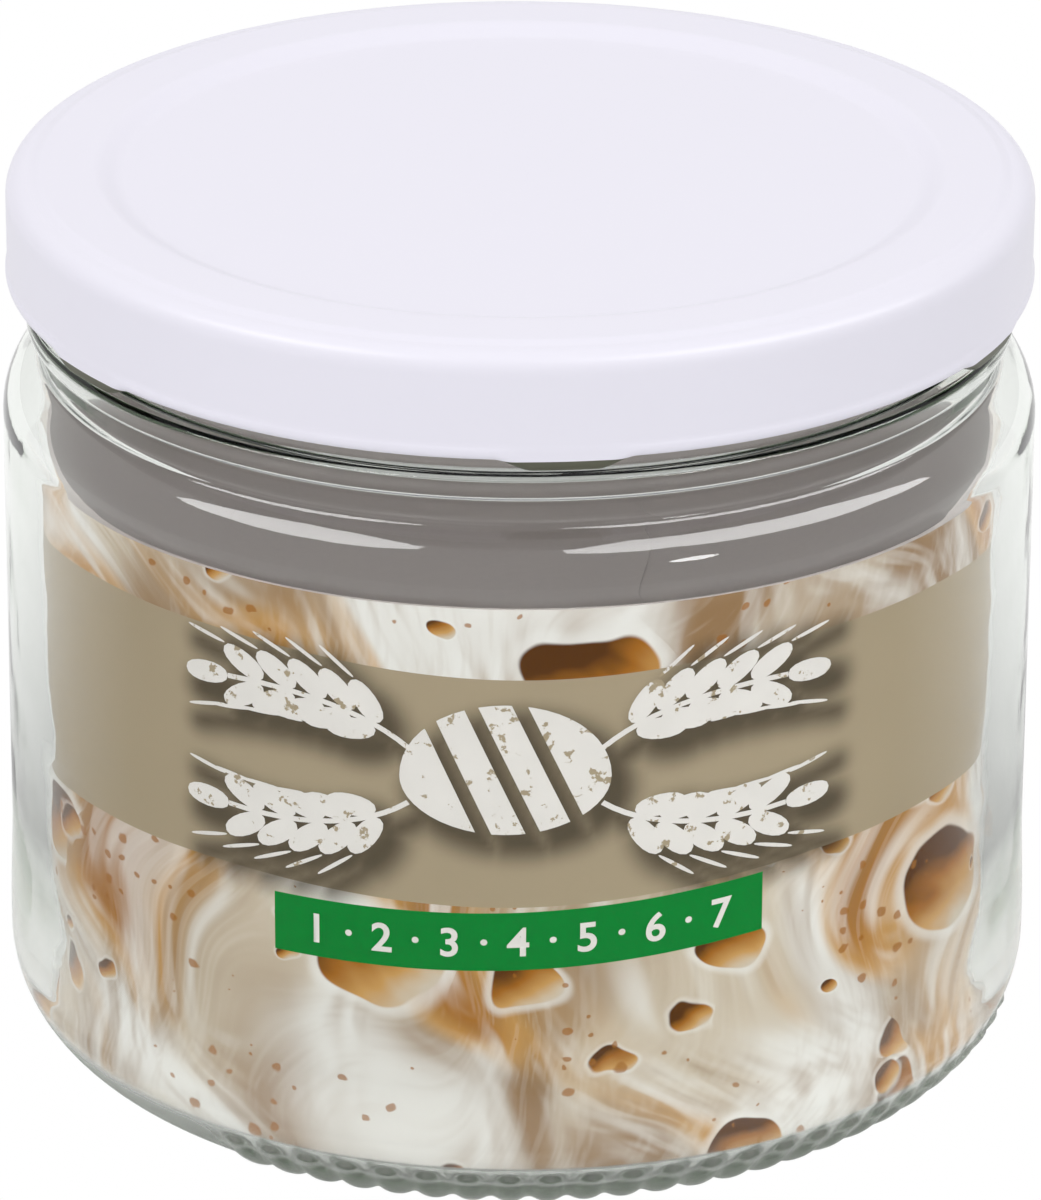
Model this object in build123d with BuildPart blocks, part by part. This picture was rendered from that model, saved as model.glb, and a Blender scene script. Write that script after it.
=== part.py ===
from build123d import *
from math import atan2, cos, radians, sin, sqrt, tan
import os

os.makedirs("parts", exist_ok=True)

# A short, wide starter jar: pressed glass body, a printed card sleeve rolled up inside it,
# and a twist-off sheet-metal lid with a moulded sealing ring. Millimetres, +Z up.
# The origin is the middle of the ring that the jar stands on, and the front is towards -Y.

# Glass body
body_radius = 43.05
body_wall = 2.9
floor_height = 3.6
floor_corner_round = 3.0
push_up = 1.0
push_up_run = 2.0
push_up_round = 3.0
bearing_width = 2.8
bearing_round = 1.5

# Heel, a shade wider than the body so that jars touch there first
heel_bulge = 0.25
heel_round = 9.0
heel_crown_rise = 1.5
heel_fade = 9.5

# Shoulder and neck
shoulder_corner_height = 58.9
shoulder_rise = 2.3
shoulder_round = 6.0
inner_shoulder_round = 4.0
bore_radius = 36.4
bore_round = 1.5
neck_wall = 3.5
neck_height = 2.4
neck_round = 1.0

# Transfer bead below the mouth
bead_reach = 1.1
bead_height = 2.1
bead_round = 0.6
bead_root_round = 0.35

# Mouth, from the bead up to the rim
finish_wall = 3.0
finish_height = 9.9
rim_outer_round = 1.4
rim_inner_round = 1.2

# Grip ribs on the heel, in two opposite runs with smooth glass between
rib_round = 2.3
rib_rise = 0.4
ribs_per_turn = 78
ribs_per_run = 28
rib_first_angle = -123.0
rib_top_angle = 26.0
rib_bottom_angle = 68.0

# Six short slanted threads, and the clear ways between them
thread_count = 6
thread_round = 1.2
thread_reach = 1.2
thread_arc = 38.0
thread_slope = 3.6
thread_lug_gap = 0.4
way_angle = -85.1

# Lid, pressed from lacquered sheet
sheet = 0.25
lid_height = 9.2
panel_bore_step = 2.2
panel_drop = 0.9
panel_round = 0.4
ridge_step = 0.3
ridge_round = 0.15
ledge_width = 1.95
lid_shoulder_round = 1.7
curl_radius = 0.75
curl_bulge = 0.15
curl_mouth = 0.4
curl_thread_gap = 0.5

# Lugs pressed in from the curl
lug_wall_gap = 0.4
lug_depth = 1.7
lug_drop = 1.0
lug_height = 2.2
lug_top_width = 11.0
lug_bottom_width = 5.0
lug_round = 0.5

# Sealing ring in the channel under the lid's ridge
seal_thickness = 0.87
seal_round = 0.35
seal_fit = 0.03
seal_rim_gap = 0.15

# Printed card sleeve, rolled up inside the glass with its ends overlapped at the back
card = 0.3
card_layer_gap = 0.05
card_glass_gap = 0.35
card_seat_gap = 0.05
card_shoulder_gap = 3.0
sleeve_overlap_angle = 17.0

# Radii that follow from the sizes above
inner_radius = body_radius - body_wall
heel_crown_radius = body_radius + heel_bulge
heel_centre_radius = heel_crown_radius - heel_round
bearing_inner_radius = heel_centre_radius - bearing_width
push_up_radius = bearing_inner_radius - push_up_run
neck_radius = bore_radius + neck_wall
bead_radius = neck_radius + bead_reach
finish_radius = bore_radius + finish_wall
thread_outer_radius = finish_radius + thread_reach
curl_centre_radius = thread_outer_radius + curl_thread_gap + curl_radius
skirt_radius = curl_centre_radius + curl_radius - curl_bulge
ridge_outer_radius = skirt_radius - ledge_width
panel_radius = bore_radius - panel_bore_step
lug_inner_radius = finish_radius + lug_wall_gap

# Levels of the glass, from the ring that it stands on
heel_crown_height = heel_round + heel_crown_rise
heel_fade_height = heel_crown_height + heel_fade
shoulder_top = shoulder_corner_height + shoulder_rise
bead_bottom = shoulder_top + neck_height
bead_top = bead_bottom + bead_height
rim_height = bead_top + finish_height

# The inner shoulder runs parallel to the outer one, one wall thickness inside it
shoulder_slope = atan2(shoulder_rise, body_radius - neck_radius)
inner_slope_radius = body_radius - body_wall * sin(shoulder_slope)
inner_slope_height = shoulder_corner_height - body_wall * cos(shoulder_slope)
inner_corner_height = inner_slope_height + (inner_slope_radius - inner_radius) * tan(shoulder_slope)
bore_corner_height = inner_slope_height + (inner_slope_radius - bore_radius) * tan(shoulder_slope)

# Levels of the lid, which sits over the rim
seal_bottom = rim_height + seal_rim_gap
ridge_height = seal_bottom + seal_thickness + seal_fit + sheet
panel_height = ridge_height - panel_drop
ledge_height = ridge_height - ridge_step
lid_bottom = ridge_height - lid_height
curl_centre_height = lid_bottom + curl_radius
lug_bottom = lid_bottom - lug_drop
lug_top = lug_bottom + lug_height

# The low end of each thread clears the tops of the lugs that turn in below it
thread_centre_radius = thread_outer_radius - thread_round
thread_half_rise = thread_centre_radius * sin(radians(thread_arc / 2)) * tan(radians(thread_slope))
thread_height = lug_top + thread_lug_gap + thread_round + thread_half_rise


def round_corner(sketch, point, radius):
    """Round the corner of a profile that lies nearest to a point."""
    fillet(sketch.vertices().sort_by_distance(point)[0], radius=radius)


# One grip rib: a round bar that follows the heel's curve
rib_path_radius = heel_round + rib_rise - rib_round
rib_top = radians(rib_top_angle)
rib_centre = (heel_centre_radius, 0, heel_round)
rib_outward = (cos(rib_top), 0, -sin(rib_top))
rib_normal = (sin(rib_top), 0, cos(rib_top))
with BuildPart() as heel_rib:
    with BuildSketch(Plane(origin=rib_centre, x_dir=rib_outward, z_dir=rib_normal)):
        with Locations((rib_path_radius, 0)):
            Circle(rib_round)
    revolve(axis=Axis(rib_centre, (0, 1, 0)), revolution_arc=rib_bottom_angle - rib_top_angle)

# One thread: a slice of a ring with ball ends, level here and tilted where it joins the mouth
with BuildPart() as thread:
    with BuildSketch(Plane.XZ.rotated((0, 0, -thread_arc / 2))):
        with Locations((thread_centre_radius, 0)):
            Circle(thread_round)
    revolve(axis=Axis.Z, revolution_arc=thread_arc)
    with PolarLocations(thread_centre_radius, 2, -thread_arc / 2, thread_arc, endpoint=True):
        Sphere(thread_round)

# Glass jar: the outside with its threads and ribs, less the space inside
rib_run_arc = 360 * ribs_per_run / ribs_per_turn
with BuildPart() as glass_jar:
    with BuildSketch(Plane.XZ) as outside:
        with BuildLine():
            Polyline(
                (heel_crown_radius, heel_crown_height),
                (heel_crown_radius, 0),
                (bearing_inner_radius, 0),
                (push_up_radius, push_up),
                (0, push_up),
                (0, rim_height),
                (finish_radius, rim_height),
                (finish_radius, bead_top),
                (bead_radius, bead_top),
                (bead_radius, bead_bottom),
                (neck_radius, bead_bottom),
                (neck_radius, shoulder_top),
                (body_radius, shoulder_corner_height),
                (body_radius, heel_fade_height),
            )
            Spline(
                (body_radius, heel_fade_height),
                (heel_crown_radius, heel_crown_height),
                tangents=((0, -1), (0, -1)),
            )
        make_face()
        round_corner(outside, (heel_crown_radius, 0), heel_round)
        round_corner(outside, (bearing_inner_radius, 0), bearing_round)
        round_corner(outside, (push_up_radius, push_up), push_up_round)
        round_corner(outside, (finish_radius, rim_height), rim_outer_round)
        round_corner(outside, (finish_radius, bead_top), bead_root_round)
        round_corner(outside, (bead_radius, bead_top), bead_round)
        round_corner(outside, (bead_radius, bead_bottom), bead_round)
        round_corner(outside, (neck_radius, bead_bottom), bead_root_round)
        round_corner(outside, (neck_radius, shoulder_top), neck_round)
        round_corner(outside, (body_radius, shoulder_corner_height), shoulder_round)
    revolve(axis=Axis.Z)
    with PolarLocations(0, thread_count, way_angle + 180 / thread_count):
        with Locations(Location((0, 0, thread_height), (thread_slope, 0, 0))):
            add(thread.part)
    with PolarLocations(0, ribs_per_run, rib_first_angle, rib_run_arc):
        add(heel_rib.part)
    with PolarLocations(0, ribs_per_run, rib_first_angle + 180, rib_run_arc):
        add(heel_rib.part)
    with BuildSketch(Plane.XZ) as inside:
        with BuildLine():
            Polyline(
                (0, floor_height),
                (inner_radius, floor_height),
                (inner_radius, inner_corner_height),
                (bore_radius, bore_corner_height),
                (bore_radius, rim_height - rim_inner_round),
                (bore_radius + rim_inner_round, rim_height),
                (0, rim_height),
                close=True,
            )
        make_face()
        with Locations((bore_radius + rim_inner_round, rim_height - rim_inner_round)):
            Circle(rim_inner_round, mode=Mode.SUBTRACT)
        round_corner(inside, (inner_radius, floor_height), floor_corner_round)
        round_corner(inside, (inner_radius, inner_corner_height), inner_shoulder_round)
        round_corner(inside, (bore_radius, bore_corner_height), bore_round)
    revolve(axis=Axis.Z, mode=Mode.SUBTRACT)
glass_jar.part.label = "glass_jar"
export_step(glass_jar.part, "parts/glass_jar.step")

# One lug, wide at the curl and narrow below it
with BuildPart() as lug:
    with BuildSketch(Plane.YZ.offset(lug_inner_radius)):
        with BuildLine():
            Polyline(
                (-lug_bottom_width / 2, lug_bottom),
                (lug_bottom_width / 2, lug_bottom),
                (lug_top_width / 2, lug_top),
                (-lug_top_width / 2, lug_top),
                close=True,
            )
        make_face()
    extrude(amount=lug_depth)
    fillet(lug.edges().filter_by(Axis.X), radius=lug_round)

# Lid shell
with BuildPart() as lid_shell:
    with BuildSketch(Plane.XZ) as lid_profile:
        with BuildLine():
            Polyline(
                (0, panel_height),
                (panel_radius, panel_height),
                (panel_radius, ridge_height),
                (ridge_outer_radius, ridge_height),
                (ridge_outer_radius, ledge_height),
                (skirt_radius, ledge_height),
                (skirt_radius, curl_centre_height),
                (skirt_radius - sheet, curl_centre_height),
                (skirt_radius - sheet, ledge_height - sheet),
                (ridge_outer_radius - sheet, ledge_height - sheet),
                (ridge_outer_radius - sheet, ridge_height - sheet),
                (panel_radius + sheet, ridge_height - sheet),
                (panel_radius + sheet, panel_height - sheet),
                (0, panel_height - sheet),
                close=True,
            )
        make_face()
        round_corner(lid_profile, (panel_radius, panel_height), panel_round)
        round_corner(lid_profile, (panel_radius, ridge_height), panel_round)
        round_corner(lid_profile, (panel_radius + sheet, panel_height - sheet), panel_round + sheet)
        round_corner(lid_profile, (panel_radius + sheet, ridge_height - sheet), panel_round - sheet)
        round_corner(lid_profile, (ridge_outer_radius, ridge_height), ridge_round)
        round_corner(lid_profile, (ridge_outer_radius, ledge_height), ridge_round)
        round_corner(lid_profile, (skirt_radius, ledge_height), lid_shoulder_round)
        round_corner(lid_profile, (skirt_radius - sheet, ledge_height - sheet), lid_shoulder_round - sheet)
        with Locations((curl_centre_radius, curl_centre_height)):
            Circle(curl_radius)
            Circle(curl_radius - sheet, mode=Mode.SUBTRACT)
        with Locations((curl_centre_radius, curl_centre_height + curl_radius)):
            Rectangle(curl_mouth, 2 * sheet + curl_mouth, mode=Mode.SUBTRACT)
    revolve(axis=Axis.Z)
    with PolarLocations(0, thread_count, way_angle):
        add(lug.part)
lid_shell.part.label = "lid_shell"
export_step(lid_shell.part, "parts/lid_shell.step")

# Sealing ring
seal_inner_radius = panel_radius + sheet + seal_fit
seal_outer_radius = ridge_outer_radius - sheet - seal_fit
with BuildPart() as sealing_ring:
    with BuildSketch(Plane.XZ) as seal_profile:
        with BuildLine():
            Polyline(
                (seal_inner_radius, seal_bottom),
                (seal_outer_radius, seal_bottom),
                (seal_outer_radius, seal_bottom + seal_thickness),
                (seal_inner_radius, seal_bottom + seal_thickness),
                close=True,
            )
        make_face()
        fillet(seal_profile.vertices(), radius=seal_round)
    revolve(axis=Axis.Z)
sealing_ring.part.label = "sealing_ring"
export_step(sealing_ring.part, "parts/sealing_ring.step")

# Card sleeve: the left half's centre lies forward, so that its end slips inside the right half's
sleeve_radius = inner_radius - card_glass_gap
corner_reach = floor_corner_round - card_glass_gap
corner_drop = sqrt(floor_corner_round**2 - corner_reach**2)
sleeve_bottom = floor_height + floor_corner_round - corner_drop + card_seat_gap
sleeve_top = inner_corner_height - card_shoulder_gap
layer_pitch = card + card_layer_gap
inner_turn_radius = sleeve_radius - layer_pitch / 2
inner_turn_centre = (0, -layer_pitch / 2)
inner_turn_arc = 180 + sleeve_overlap_angle
with BuildPart() as insert_sleeve:
    with BuildSketch(Plane.XY.offset(sleeve_bottom)):
        with BuildLine():
            right_outer = CenterArc((0, 0), sleeve_radius, -90, 180)
            right_inner = CenterArc((0, 0), sleeve_radius - card, -90, 180)
            left_outer = CenterArc(inner_turn_centre, inner_turn_radius, -90, -inner_turn_arc)
            left_inner = CenterArc(inner_turn_centre, inner_turn_radius - card, -90, -inner_turn_arc)
            Line(right_outer @ 1, right_inner @ 1)
            Line(left_outer @ 1, left_inner @ 1)
        make_face()
    extrude(amount=sleeve_top - sleeve_bottom)
insert_sleeve.part.label = "insert_sleeve"
export_step(insert_sleeve.part, "parts/insert_sleeve.step")
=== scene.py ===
import math

import bmesh
import bpy
import numpy as np
from bpy.props import FloatProperty, FloatVectorProperty, IntProperty, PointerProperty, StringProperty
from bpy.types import Operator, Panel, PropertyGroup
from mathutils import Matrix, Vector


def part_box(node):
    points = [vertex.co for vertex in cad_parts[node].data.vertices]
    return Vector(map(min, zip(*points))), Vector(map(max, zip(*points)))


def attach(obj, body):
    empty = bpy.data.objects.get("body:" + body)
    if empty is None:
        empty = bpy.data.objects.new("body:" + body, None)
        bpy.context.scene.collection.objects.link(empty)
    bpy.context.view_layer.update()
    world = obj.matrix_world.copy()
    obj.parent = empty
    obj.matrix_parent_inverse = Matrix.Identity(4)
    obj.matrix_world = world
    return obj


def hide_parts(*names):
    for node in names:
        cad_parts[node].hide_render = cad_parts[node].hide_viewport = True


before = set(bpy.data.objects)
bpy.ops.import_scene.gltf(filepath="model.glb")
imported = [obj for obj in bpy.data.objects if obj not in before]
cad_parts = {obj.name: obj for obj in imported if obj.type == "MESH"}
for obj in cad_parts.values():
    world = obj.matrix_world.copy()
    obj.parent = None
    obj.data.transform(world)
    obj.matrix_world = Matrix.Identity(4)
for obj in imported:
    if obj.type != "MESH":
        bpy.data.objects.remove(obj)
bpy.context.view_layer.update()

bl_info = {
    "name": "Sourdough Starter Jar",
    "version": (1, 0, 0),
    "blender": (4, 5, 0),
    "location": "3D View > Sidebar > Starter Jar",
    "description": "Dresses a packed starter jar: clear glass, printed card sleeve and twist-off lid",
    "category": "Object",
}

MM = 0.001
FRONT = math.radians(-90)
# Points closer together than this count as one
NEAR = 0.01 * MM
# A distance in millimetres out of reach of any print
FAR = 1e3

BUMP = "ShaderNodeBump"
COORDINATES = "ShaderNodeTexCoord"
LIGHT_PATH = "ShaderNodeLightPath"
MATHS = "ShaderNodeMath"
MIX = "ShaderNodeMix"
MIX_SHADERS = "ShaderNodeMixShader"
NOISE = "ShaderNodeTexNoise"
OUTPUT = "ShaderNodeOutputMaterial"
PRINCIPLED = "ShaderNodeBsdfPrincipled"
RANGE = "ShaderNodeMapRange"
VECTORS = "ShaderNodeVectorMath"


def length(name, description, millimetres):
    """A size in metres, from its default in millimetres."""
    return FloatProperty(
        name=name, description=description, default=millimetres * MM, min=0.0, unit="LENGTH", precision=5
    )


def angle(name, description, degrees):
    """An angle in radians, from its default in degrees."""
    return FloatProperty(name=name, description=description, default=math.radians(degrees), subtype="ANGLE")


def place_along(name, description, millimetres):
    """A place along the card in metres, less than zero to the left of the front."""
    place = millimetres * MM
    return FloatProperty(name=name, description=description, default=place, unit="LENGTH", precision=5)


def number(name, description, value):
    """A plain number or a share."""
    return FloatProperty(name=name, description=description, default=value, precision=4)


def how_many(name, description, value):
    """A number of like things."""
    return IntProperty(name=name, description=description, default=value, min=1)


def linear(hex_code):
    """Linear colour with full alpha from an sRGB hex value."""
    parts = [int(hex_code[i : i + 2], 16) / 255 for i in (1, 3, 5)]
    return tuple(c / 12.92 if c <= 0.04045 else ((c + 0.055) / 1.055) ** 2.4 for c in parts) + (1.0,)


def colour(name, description, hex_code):
    """A colour that a user may change, from its default as sRGB hex."""
    shade = linear(hex_code)
    return FloatVectorProperty(
        name=name, description=description, default=shade, size=4, min=0.0, max=1.0, subtype="COLOR"
    )


class GlassSizes(PropertyGroup):
    """Pressed glass body."""

    body_radius: length("Body radius", "Outside radius of the glass below its shoulder", 43.05)
    wall: length("Wall", "Thickness of the glass in the body", 2.9)
    floor_height: length("Floor height", "Level of the inside floor", 3.6)
    floor_round: length("Floor corner", "Rounding between the inside floor and wall", 3.0)
    push_up: length("Push-up", "How far the underside is pushed up", 1.0)
    push_up_radius: length("Push-up radius", "Radius of the flat part of the underside", 29.5)
    push_up_round: length("Push-up rounding", "Rounding at the edge of the pushed-up underside", 3.0)
    bearing_radius: length("Bearing radius", "Inner radius of the ring that the jar stands on", 31.5)
    bearing_round: length("Bearing rounding", "Rounding at the inner edge of that ring", 1.5)
    heel_bulge: length("Heel bulge", "How far the heel stands out from the body", 0.25)
    heel_round: length("Heel rounding", "Rounding of the heel", 9.0)
    heel_crown_rise: length("Heel crown", "Straight part above the heel's rounding", 1.5)
    heel_fade: length("Heel fade", "Height over which the heel runs into the body", 9.5)
    shoulder_corner_height: length("Shoulder corner", "Level where wall and shoulder would meet", 58.9)
    shoulder_rise: length("Shoulder rise", "Rise of the shoulder up to the neck", 2.3)
    shoulder_round: length("Shoulder rounding", "Outside rounding of the shoulder", 6.0)
    inner_shoulder_round: length("Inner shoulder", "Inside rounding of the shoulder", 4.0)
    bore_radius: length("Bore radius", "Radius of the opening", 36.4)
    bore_round: length("Bore rounding", "Rounding between the shoulder's inside and the bore", 1.5)
    neck_wall: length("Neck wall", "Thickness of the glass in the neck", 3.5)
    neck_height: length("Neck height", "Height of the neck below the bead", 2.4)
    neck_round: length("Neck rounding", "Rounding between shoulder and neck", 1.0)
    bead_reach: length("Bead reach", "How far the bead stands out from the neck", 1.1)
    bead_height: length("Bead height", "Height of the bead", 2.1)
    bead_round: length("Bead rounding", "Rounding of the bead's edges", 0.7)
    bead_root_round: length("Bead root", "Rounding where the bead meets the neck", 0.45)
    finish_wall: length("Mouth wall", "Thickness of the glass at the mouth", 3.0)
    rim_outer_round: length("Rim outside", "Outside rounding of the rim", 1.4)
    rim_inner_round: length("Rim inside", "Inside rounding of the rim", 1.2)
    rib_round: length("Rib rounding", "Radius of one grip rib across", 2.3)
    rib_rise: length("Rib rise", "How far the grip ribs stand out from the heel", 0.4)
    ribs_per_turn: how_many("Ribs per turn", "Ribs that a full turn would hold", 78)
    ribs_per_run: how_many("Ribs per run", "Ribs in each of the two runs", 28)
    rib_first: angle("First rib", "Angle of the first rib of the front run", -123.0)
    rib_top: angle("Rib top", "Where the ribs begin, below the level of the heel's centre", 26.0)
    rib_bottom: angle("Rib bottom", "Where the ribs end, below the level of the heel's centre", 68.0)
    rib_end: angle("Rib end", "Angle over which the end of a rib fades away", 4.0)
    rib_blend: length("Rib blend", "Rounding where a rib meets the heel", 0.07)
    rib_skirt: length("Rib skirt", "Depth below the heel to which that rounding is drawn", 0.6)
    thread_count: how_many("Threads", "Short slanted threads round the mouth", 6)
    thread_reach: length("Thread reach", "How far the threads stand out", 1.2)
    thread_width: length("Thread width", "Half width of a thread at its foot", 1.9)
    thread_level: length("Thread level", "Height of the middle of each thread", 71.307)
    thread_arc: angle("Thread arc", "Angle that one thread covers", 38.0)
    thread_slope: angle("Thread slope", "Slant of the threads", 3.6)
    first_thread: angle("First thread", "Angle of the middle of one thread", -55.1)
    ripple: length("Ripple", "Unevenness that pressing leaves in the wall", 0.03)
    ripple_foot: length("Ripple foot", "Height over which the unevenness sets in above the floor", 8.0)
    ripple_clear: length("Ripple clear", "Depth below the rim that stays even", 2.0)
    ripple_head: length("Ripple head", "Depth below the rim where the unevenness is full", 9.0)


class LidSizes(PropertyGroup):
    """Twist-off lid pressed from sheet, and the ring in it."""

    sheet: length("Sheet", "Thickness of the sheet metal", 0.25)
    panel_radius: length("Panel radius", "Radius of the sunk panel", 34.2)
    panel_level: length("Panel level", "Height of the top of the panel", 76.0)
    ridge_level: length("Ridge level", "Height of the top of the ridge", 76.9)
    ridge_radius: length("Ridge radius", "Outer radius of the ridge", 40.5)
    ledge_level: length("Ledge level", "Height of the ledge outside the ridge", 76.6)
    skirt_radius: length("Skirt radius", "Outside radius of the skirt", 42.45)
    shoulder_round: length("Shoulder rounding", "Rounding from the ledge to the skirt", 1.7)
    panel_round: length("Panel rounding", "Rounding of the step round the panel", 0.42)
    panel_soft_out: length("Panel step outside", "How far the panel's step reaches out from its radius", 1.1)
    panel_soft_in: length("Panel step inside", "How far the panel's step reaches in from its radius", 1.5)
    ledge_run: length("Ledge run", "Width of the soft run from the ledge up to the ridge", 1.25)
    curl_radius: length("Curl radius", "Radius of the rolled edge across", 0.75)
    curl_centre: length("Curl centre", "Distance of the rolled edge from the axis", 41.85)
    curl_level: length("Curl level", "Height of the rolled edge's centre", 68.45)
    lug_reach: length("Lug reach", "Radius that the tips of the lugs reach in to", 39.83)
    lug_drop: length("Lug drop", "Level of the underside of the lugs", 66.73)
    lug_count: how_many("Lugs", "Lugs round the rolled edge", 6)
    lug_rise: length("Lug rise", "How far the top of a lug stands above the rolled edge's centre", 0.3)
    lug_flat: angle("Lug flat", "Half of the angle over which a lug is fully pressed in", 3.5)
    lug_fade: angle("Lug fade", "Half of the angle at which a lug has gone back into the curl", 7.7)
    lug_first: angle("First lug", "Angle of the middle of one lug", -85.1)
    seal_inner: length("Ring inside", "Inner radius of the sealing ring", 34.48)
    seal_outer: length("Ring outside", "Outer radius of the sealing ring", 40.22)
    seal_bottom: length("Ring underside", "Height of the sealing ring's underside", 75.75)
    seal_top: length("Ring top", "Height of the sealing ring's top", 76.62)
    seal_groove: length("Ring groove", "Depth of the mark that the rim leaves in the ring", 0.12)
    groove_half: length("Half groove", "Half the width of that mark", 1.3)
    groove_round: length("Groove rounding", "Rounding at the bottom of that mark", 0.6)
    seal_round: length("Ring rounding", "Rounding of the ring's edges", 0.3)


class SleeveSizes(PropertyGroup):
    """Card sleeve rolled up inside the glass, and what is printed on it."""

    card: length("Card", "Thickness of the card", 0.3)
    radius: length("Sleeve radius", "Outside radius of the sleeve's outer turn", 39.8)
    layer_pitch: length("Layer pitch", "Distance from one layer to the next where the ends overlap", 0.35)
    overlap: angle("Overlap", "Angle by which the ends overlap at the back", 17.0)
    skive: length("Skive", "Length over which the end that lies inside is thinned", 3.0)
    skive_share: number("Skive share", "Share of the card's thickness left at that end", 0.2)
    bottom: length("Bottom", "Level of the sleeve's lower edge", 5.24)
    top: length("Top", "Level of the sleeve's upper edge", 54.43)
    band_bottom: length("Band bottom", "Level of the lower edge of the plain band", 28.4)
    band_top: length("Band top", "Level of the upper edge of the plain band", 48.35)
    bow: length("Bow", "How far level lines of the print rise beside the front", 1.2)
    bow_full: length("Bow full", "Distance from the front at which those lines stop rising", 28.0)
    bow_end: length("Bow end", "Distance from the front at which they begin to fall again", 36.0)
    bow_gone: length("Bow gone", "Distance from the front at which they are level again", 64.0)
    foot_level: length("Level foot", "Distance from the front at which the band's foot is level", 120.0)
    tab_slope: number("Tab slope", "Rise of the tab along its length, as a share", 0.047)
    tab_left: place_along("Tab left", "Left end of the tab, from the front", -19.8)
    tab_right: length("Tab right", "Right end of the tab, from the front", 20.1)
    tab_bottom: length("Tab bottom", "Level of the tab's lower edge at the front", 22.8)
    tab_top: length("Tab top", "Level of the tab's upper edge at the front", 27.95)
    emblem_level: length("Emblem level", "Height of the middle of the emblem", 39.9)
    emblem_shift: place_along("Emblem shift", "Middle of the emblem, from the front", -0.95)
    emblem_slope: number("Emblem slope", "Rise of the emblem along its length, as a share", 0.0188)
    shadow_right: length("Shadow right", "How far the printed shadow lies right of the emblem", 1.1)
    shadow_down: length("Shadow down", "How far the printed shadow lies below the emblem", 1.3)
    shadow_out: length("Shadow outside", "How far outside its outline the shadow has faded away", 2.4)
    shadow_in: length("Shadow inside", "How far inside its outline the shadow is full", 0.6)
    ink: length("Ink", "How far the light ink stands above the card", 0.03)
    numerals: StringProperty(name="Numerals", description="Numbers on the tab", default="1 2 3 4 5 6 7")
    numeral_height: length("Numeral height", "Height of the numbers on the tab", 2.5)
    numeral_weight: number("Numeral weight", "How much the strokes are thickened", 0.018)
    numeral_margin: number("Numeral margin", "Room at the ends of the row, in steps of the row", 0.35)
    dot_radius: length("Dot radius", "Radius of the dots between the numbers", 0.28)


class FinishColours(PropertyGroup):
    """Colours of the jar's finishes."""

    glass_tint: colour("Glass tint", "Tint that thick glass takes on", "#CEDACA")
    lacquer: colour("Lid lacquer", "White lacquer on the lid", "#E9E7F2")
    # The lugs' colour is partly an olive inside lacquer and partly painted shade, darkened for the shade
    # under the curl
    lug: colour("Lug", "Inside coat that shows on the lugs", "#5E5F4F")
    compound: colour("Sealing ring", "Compound of the sealing ring", "#D8D5CF")
    card: colour("Bare card", "Unprinted back and cut edges of the card", "#C5BBB8")
    band: colour("Band", "Plain band round the sleeve", "#A1927B")
    tab: colour("Tab", "Tab below the band", "#047A2F")
    shadow: colour("Printed shadow", "Soft shadow printed under the emblem", "#3B3226")
    ink: colour("Light ink", "Emblem and numbers", "#E2DDDB")
    dough_light: colour("Dough, light", "Smooth stretched dough", "#C7BAA9")
    dough_bright: colour("Dough, bright", "Thick white strands", "#E3E1DF")
    dough_shade: colour("Dough, shaded", "Thin dough in shade", "#8E7050")
    dough_tan: colour("Dough, tan", "Dough so thin that its warm side shows", "#C09458")
    dough_amber: colour("Dough, amber", "Walls of the bubbles", "#99611F")
    dough_dark: colour("Dough, dark", "Depth of the bubbles", "#54310F")


class StageSizes(PropertyGroup):
    """Floor, lamps and camera."""

    eye_distance: length("Eye distance", "How far the camera stands in front of the jar's axis", 600.0)
    eye_height: length("Eye height", "Height of the camera above the floor", 299.42)
    pitch: angle("Pitch", "How far the camera looks down", 23.587)
    yaw: angle("Yaw", "How far the camera looks to the right", 0.0178)
    roll: angle("Roll", "How far the camera is turned about its own axis", 0.294)
    focal: number("Focal length", "Focal length in millimetres", 232.43)
    sensor: number("Sensor", "Width of the sensor in millimetres", 36.0)
    floor_radius: length("Floor radius", "Radius of the paper under the jar", 4000.0)
    backdrop: colour("Backdrop", "Colour of the paper under and behind the jar", "#FFFFFF")
    shade_full: length("Shade full", "Distance from the axis at which the foot's shade is full", 48.0)
    shade_gone: length("Shade gone", "Distance from the axis at which that shade has gone", 85.0)
    under_lit: length("Lit middle", "Radius of the lit paper under the push-up", 33.0)
    under_dark: length("Lit middle's edge", "Radius at which that light has gone", 35.0)
    under_level: number("Lit middle's level", "Share of the light that reaches under the push-up", 0.42)
    card_behind: length("Card behind", "How far behind the axis the black card begins", 125.0)
    card_before: length("Card before", "How far in front of the axis the card is full", 20.0)
    card_begin: length("Card begin", "Distance from the axis at which the card begins", 60.0)
    card_full: length("Card full", "Distance from the axis at which the card is full", 72.0)
    card_fade: length("Card fade", "Distance from the axis at which the card begins to fade", 165.0)
    card_gone: length("Card gone", "Distance from the axis at which the card has gone", 210.0)
    sky_level: number("Room light", "Level of the even light of the room", 0.87)
    mirror_level: number("Mirrored room", "Level of the room as gloss mirrors it", 0.62)
    inside_gain: number("Inside gain", "How much more light reaches what is behind the glass", 0.78)
    top_width: length("Top lamp", "Width of the lamp overhead", 620.0)
    top_height: length("Top lamp height", "Height of the lamp overhead", 1000.0)
    top_level: number("Top lamp level", "Brightness of the lamp overhead", 1.5)
    fill_width: length("Fill lamp", "Width of the soft fill from the front", 900.0)
    fill_level: number("Fill level", "Brightness of the soft fill from the front", 0.93)
    aim_level: length("Aim", "Height over the floor that both lamps point at", 40.0)
    reflector_distance: length("Reflector distance", "Distance of the reflectors from the jar", 2000.0)


# Outlines and round meshes


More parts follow.
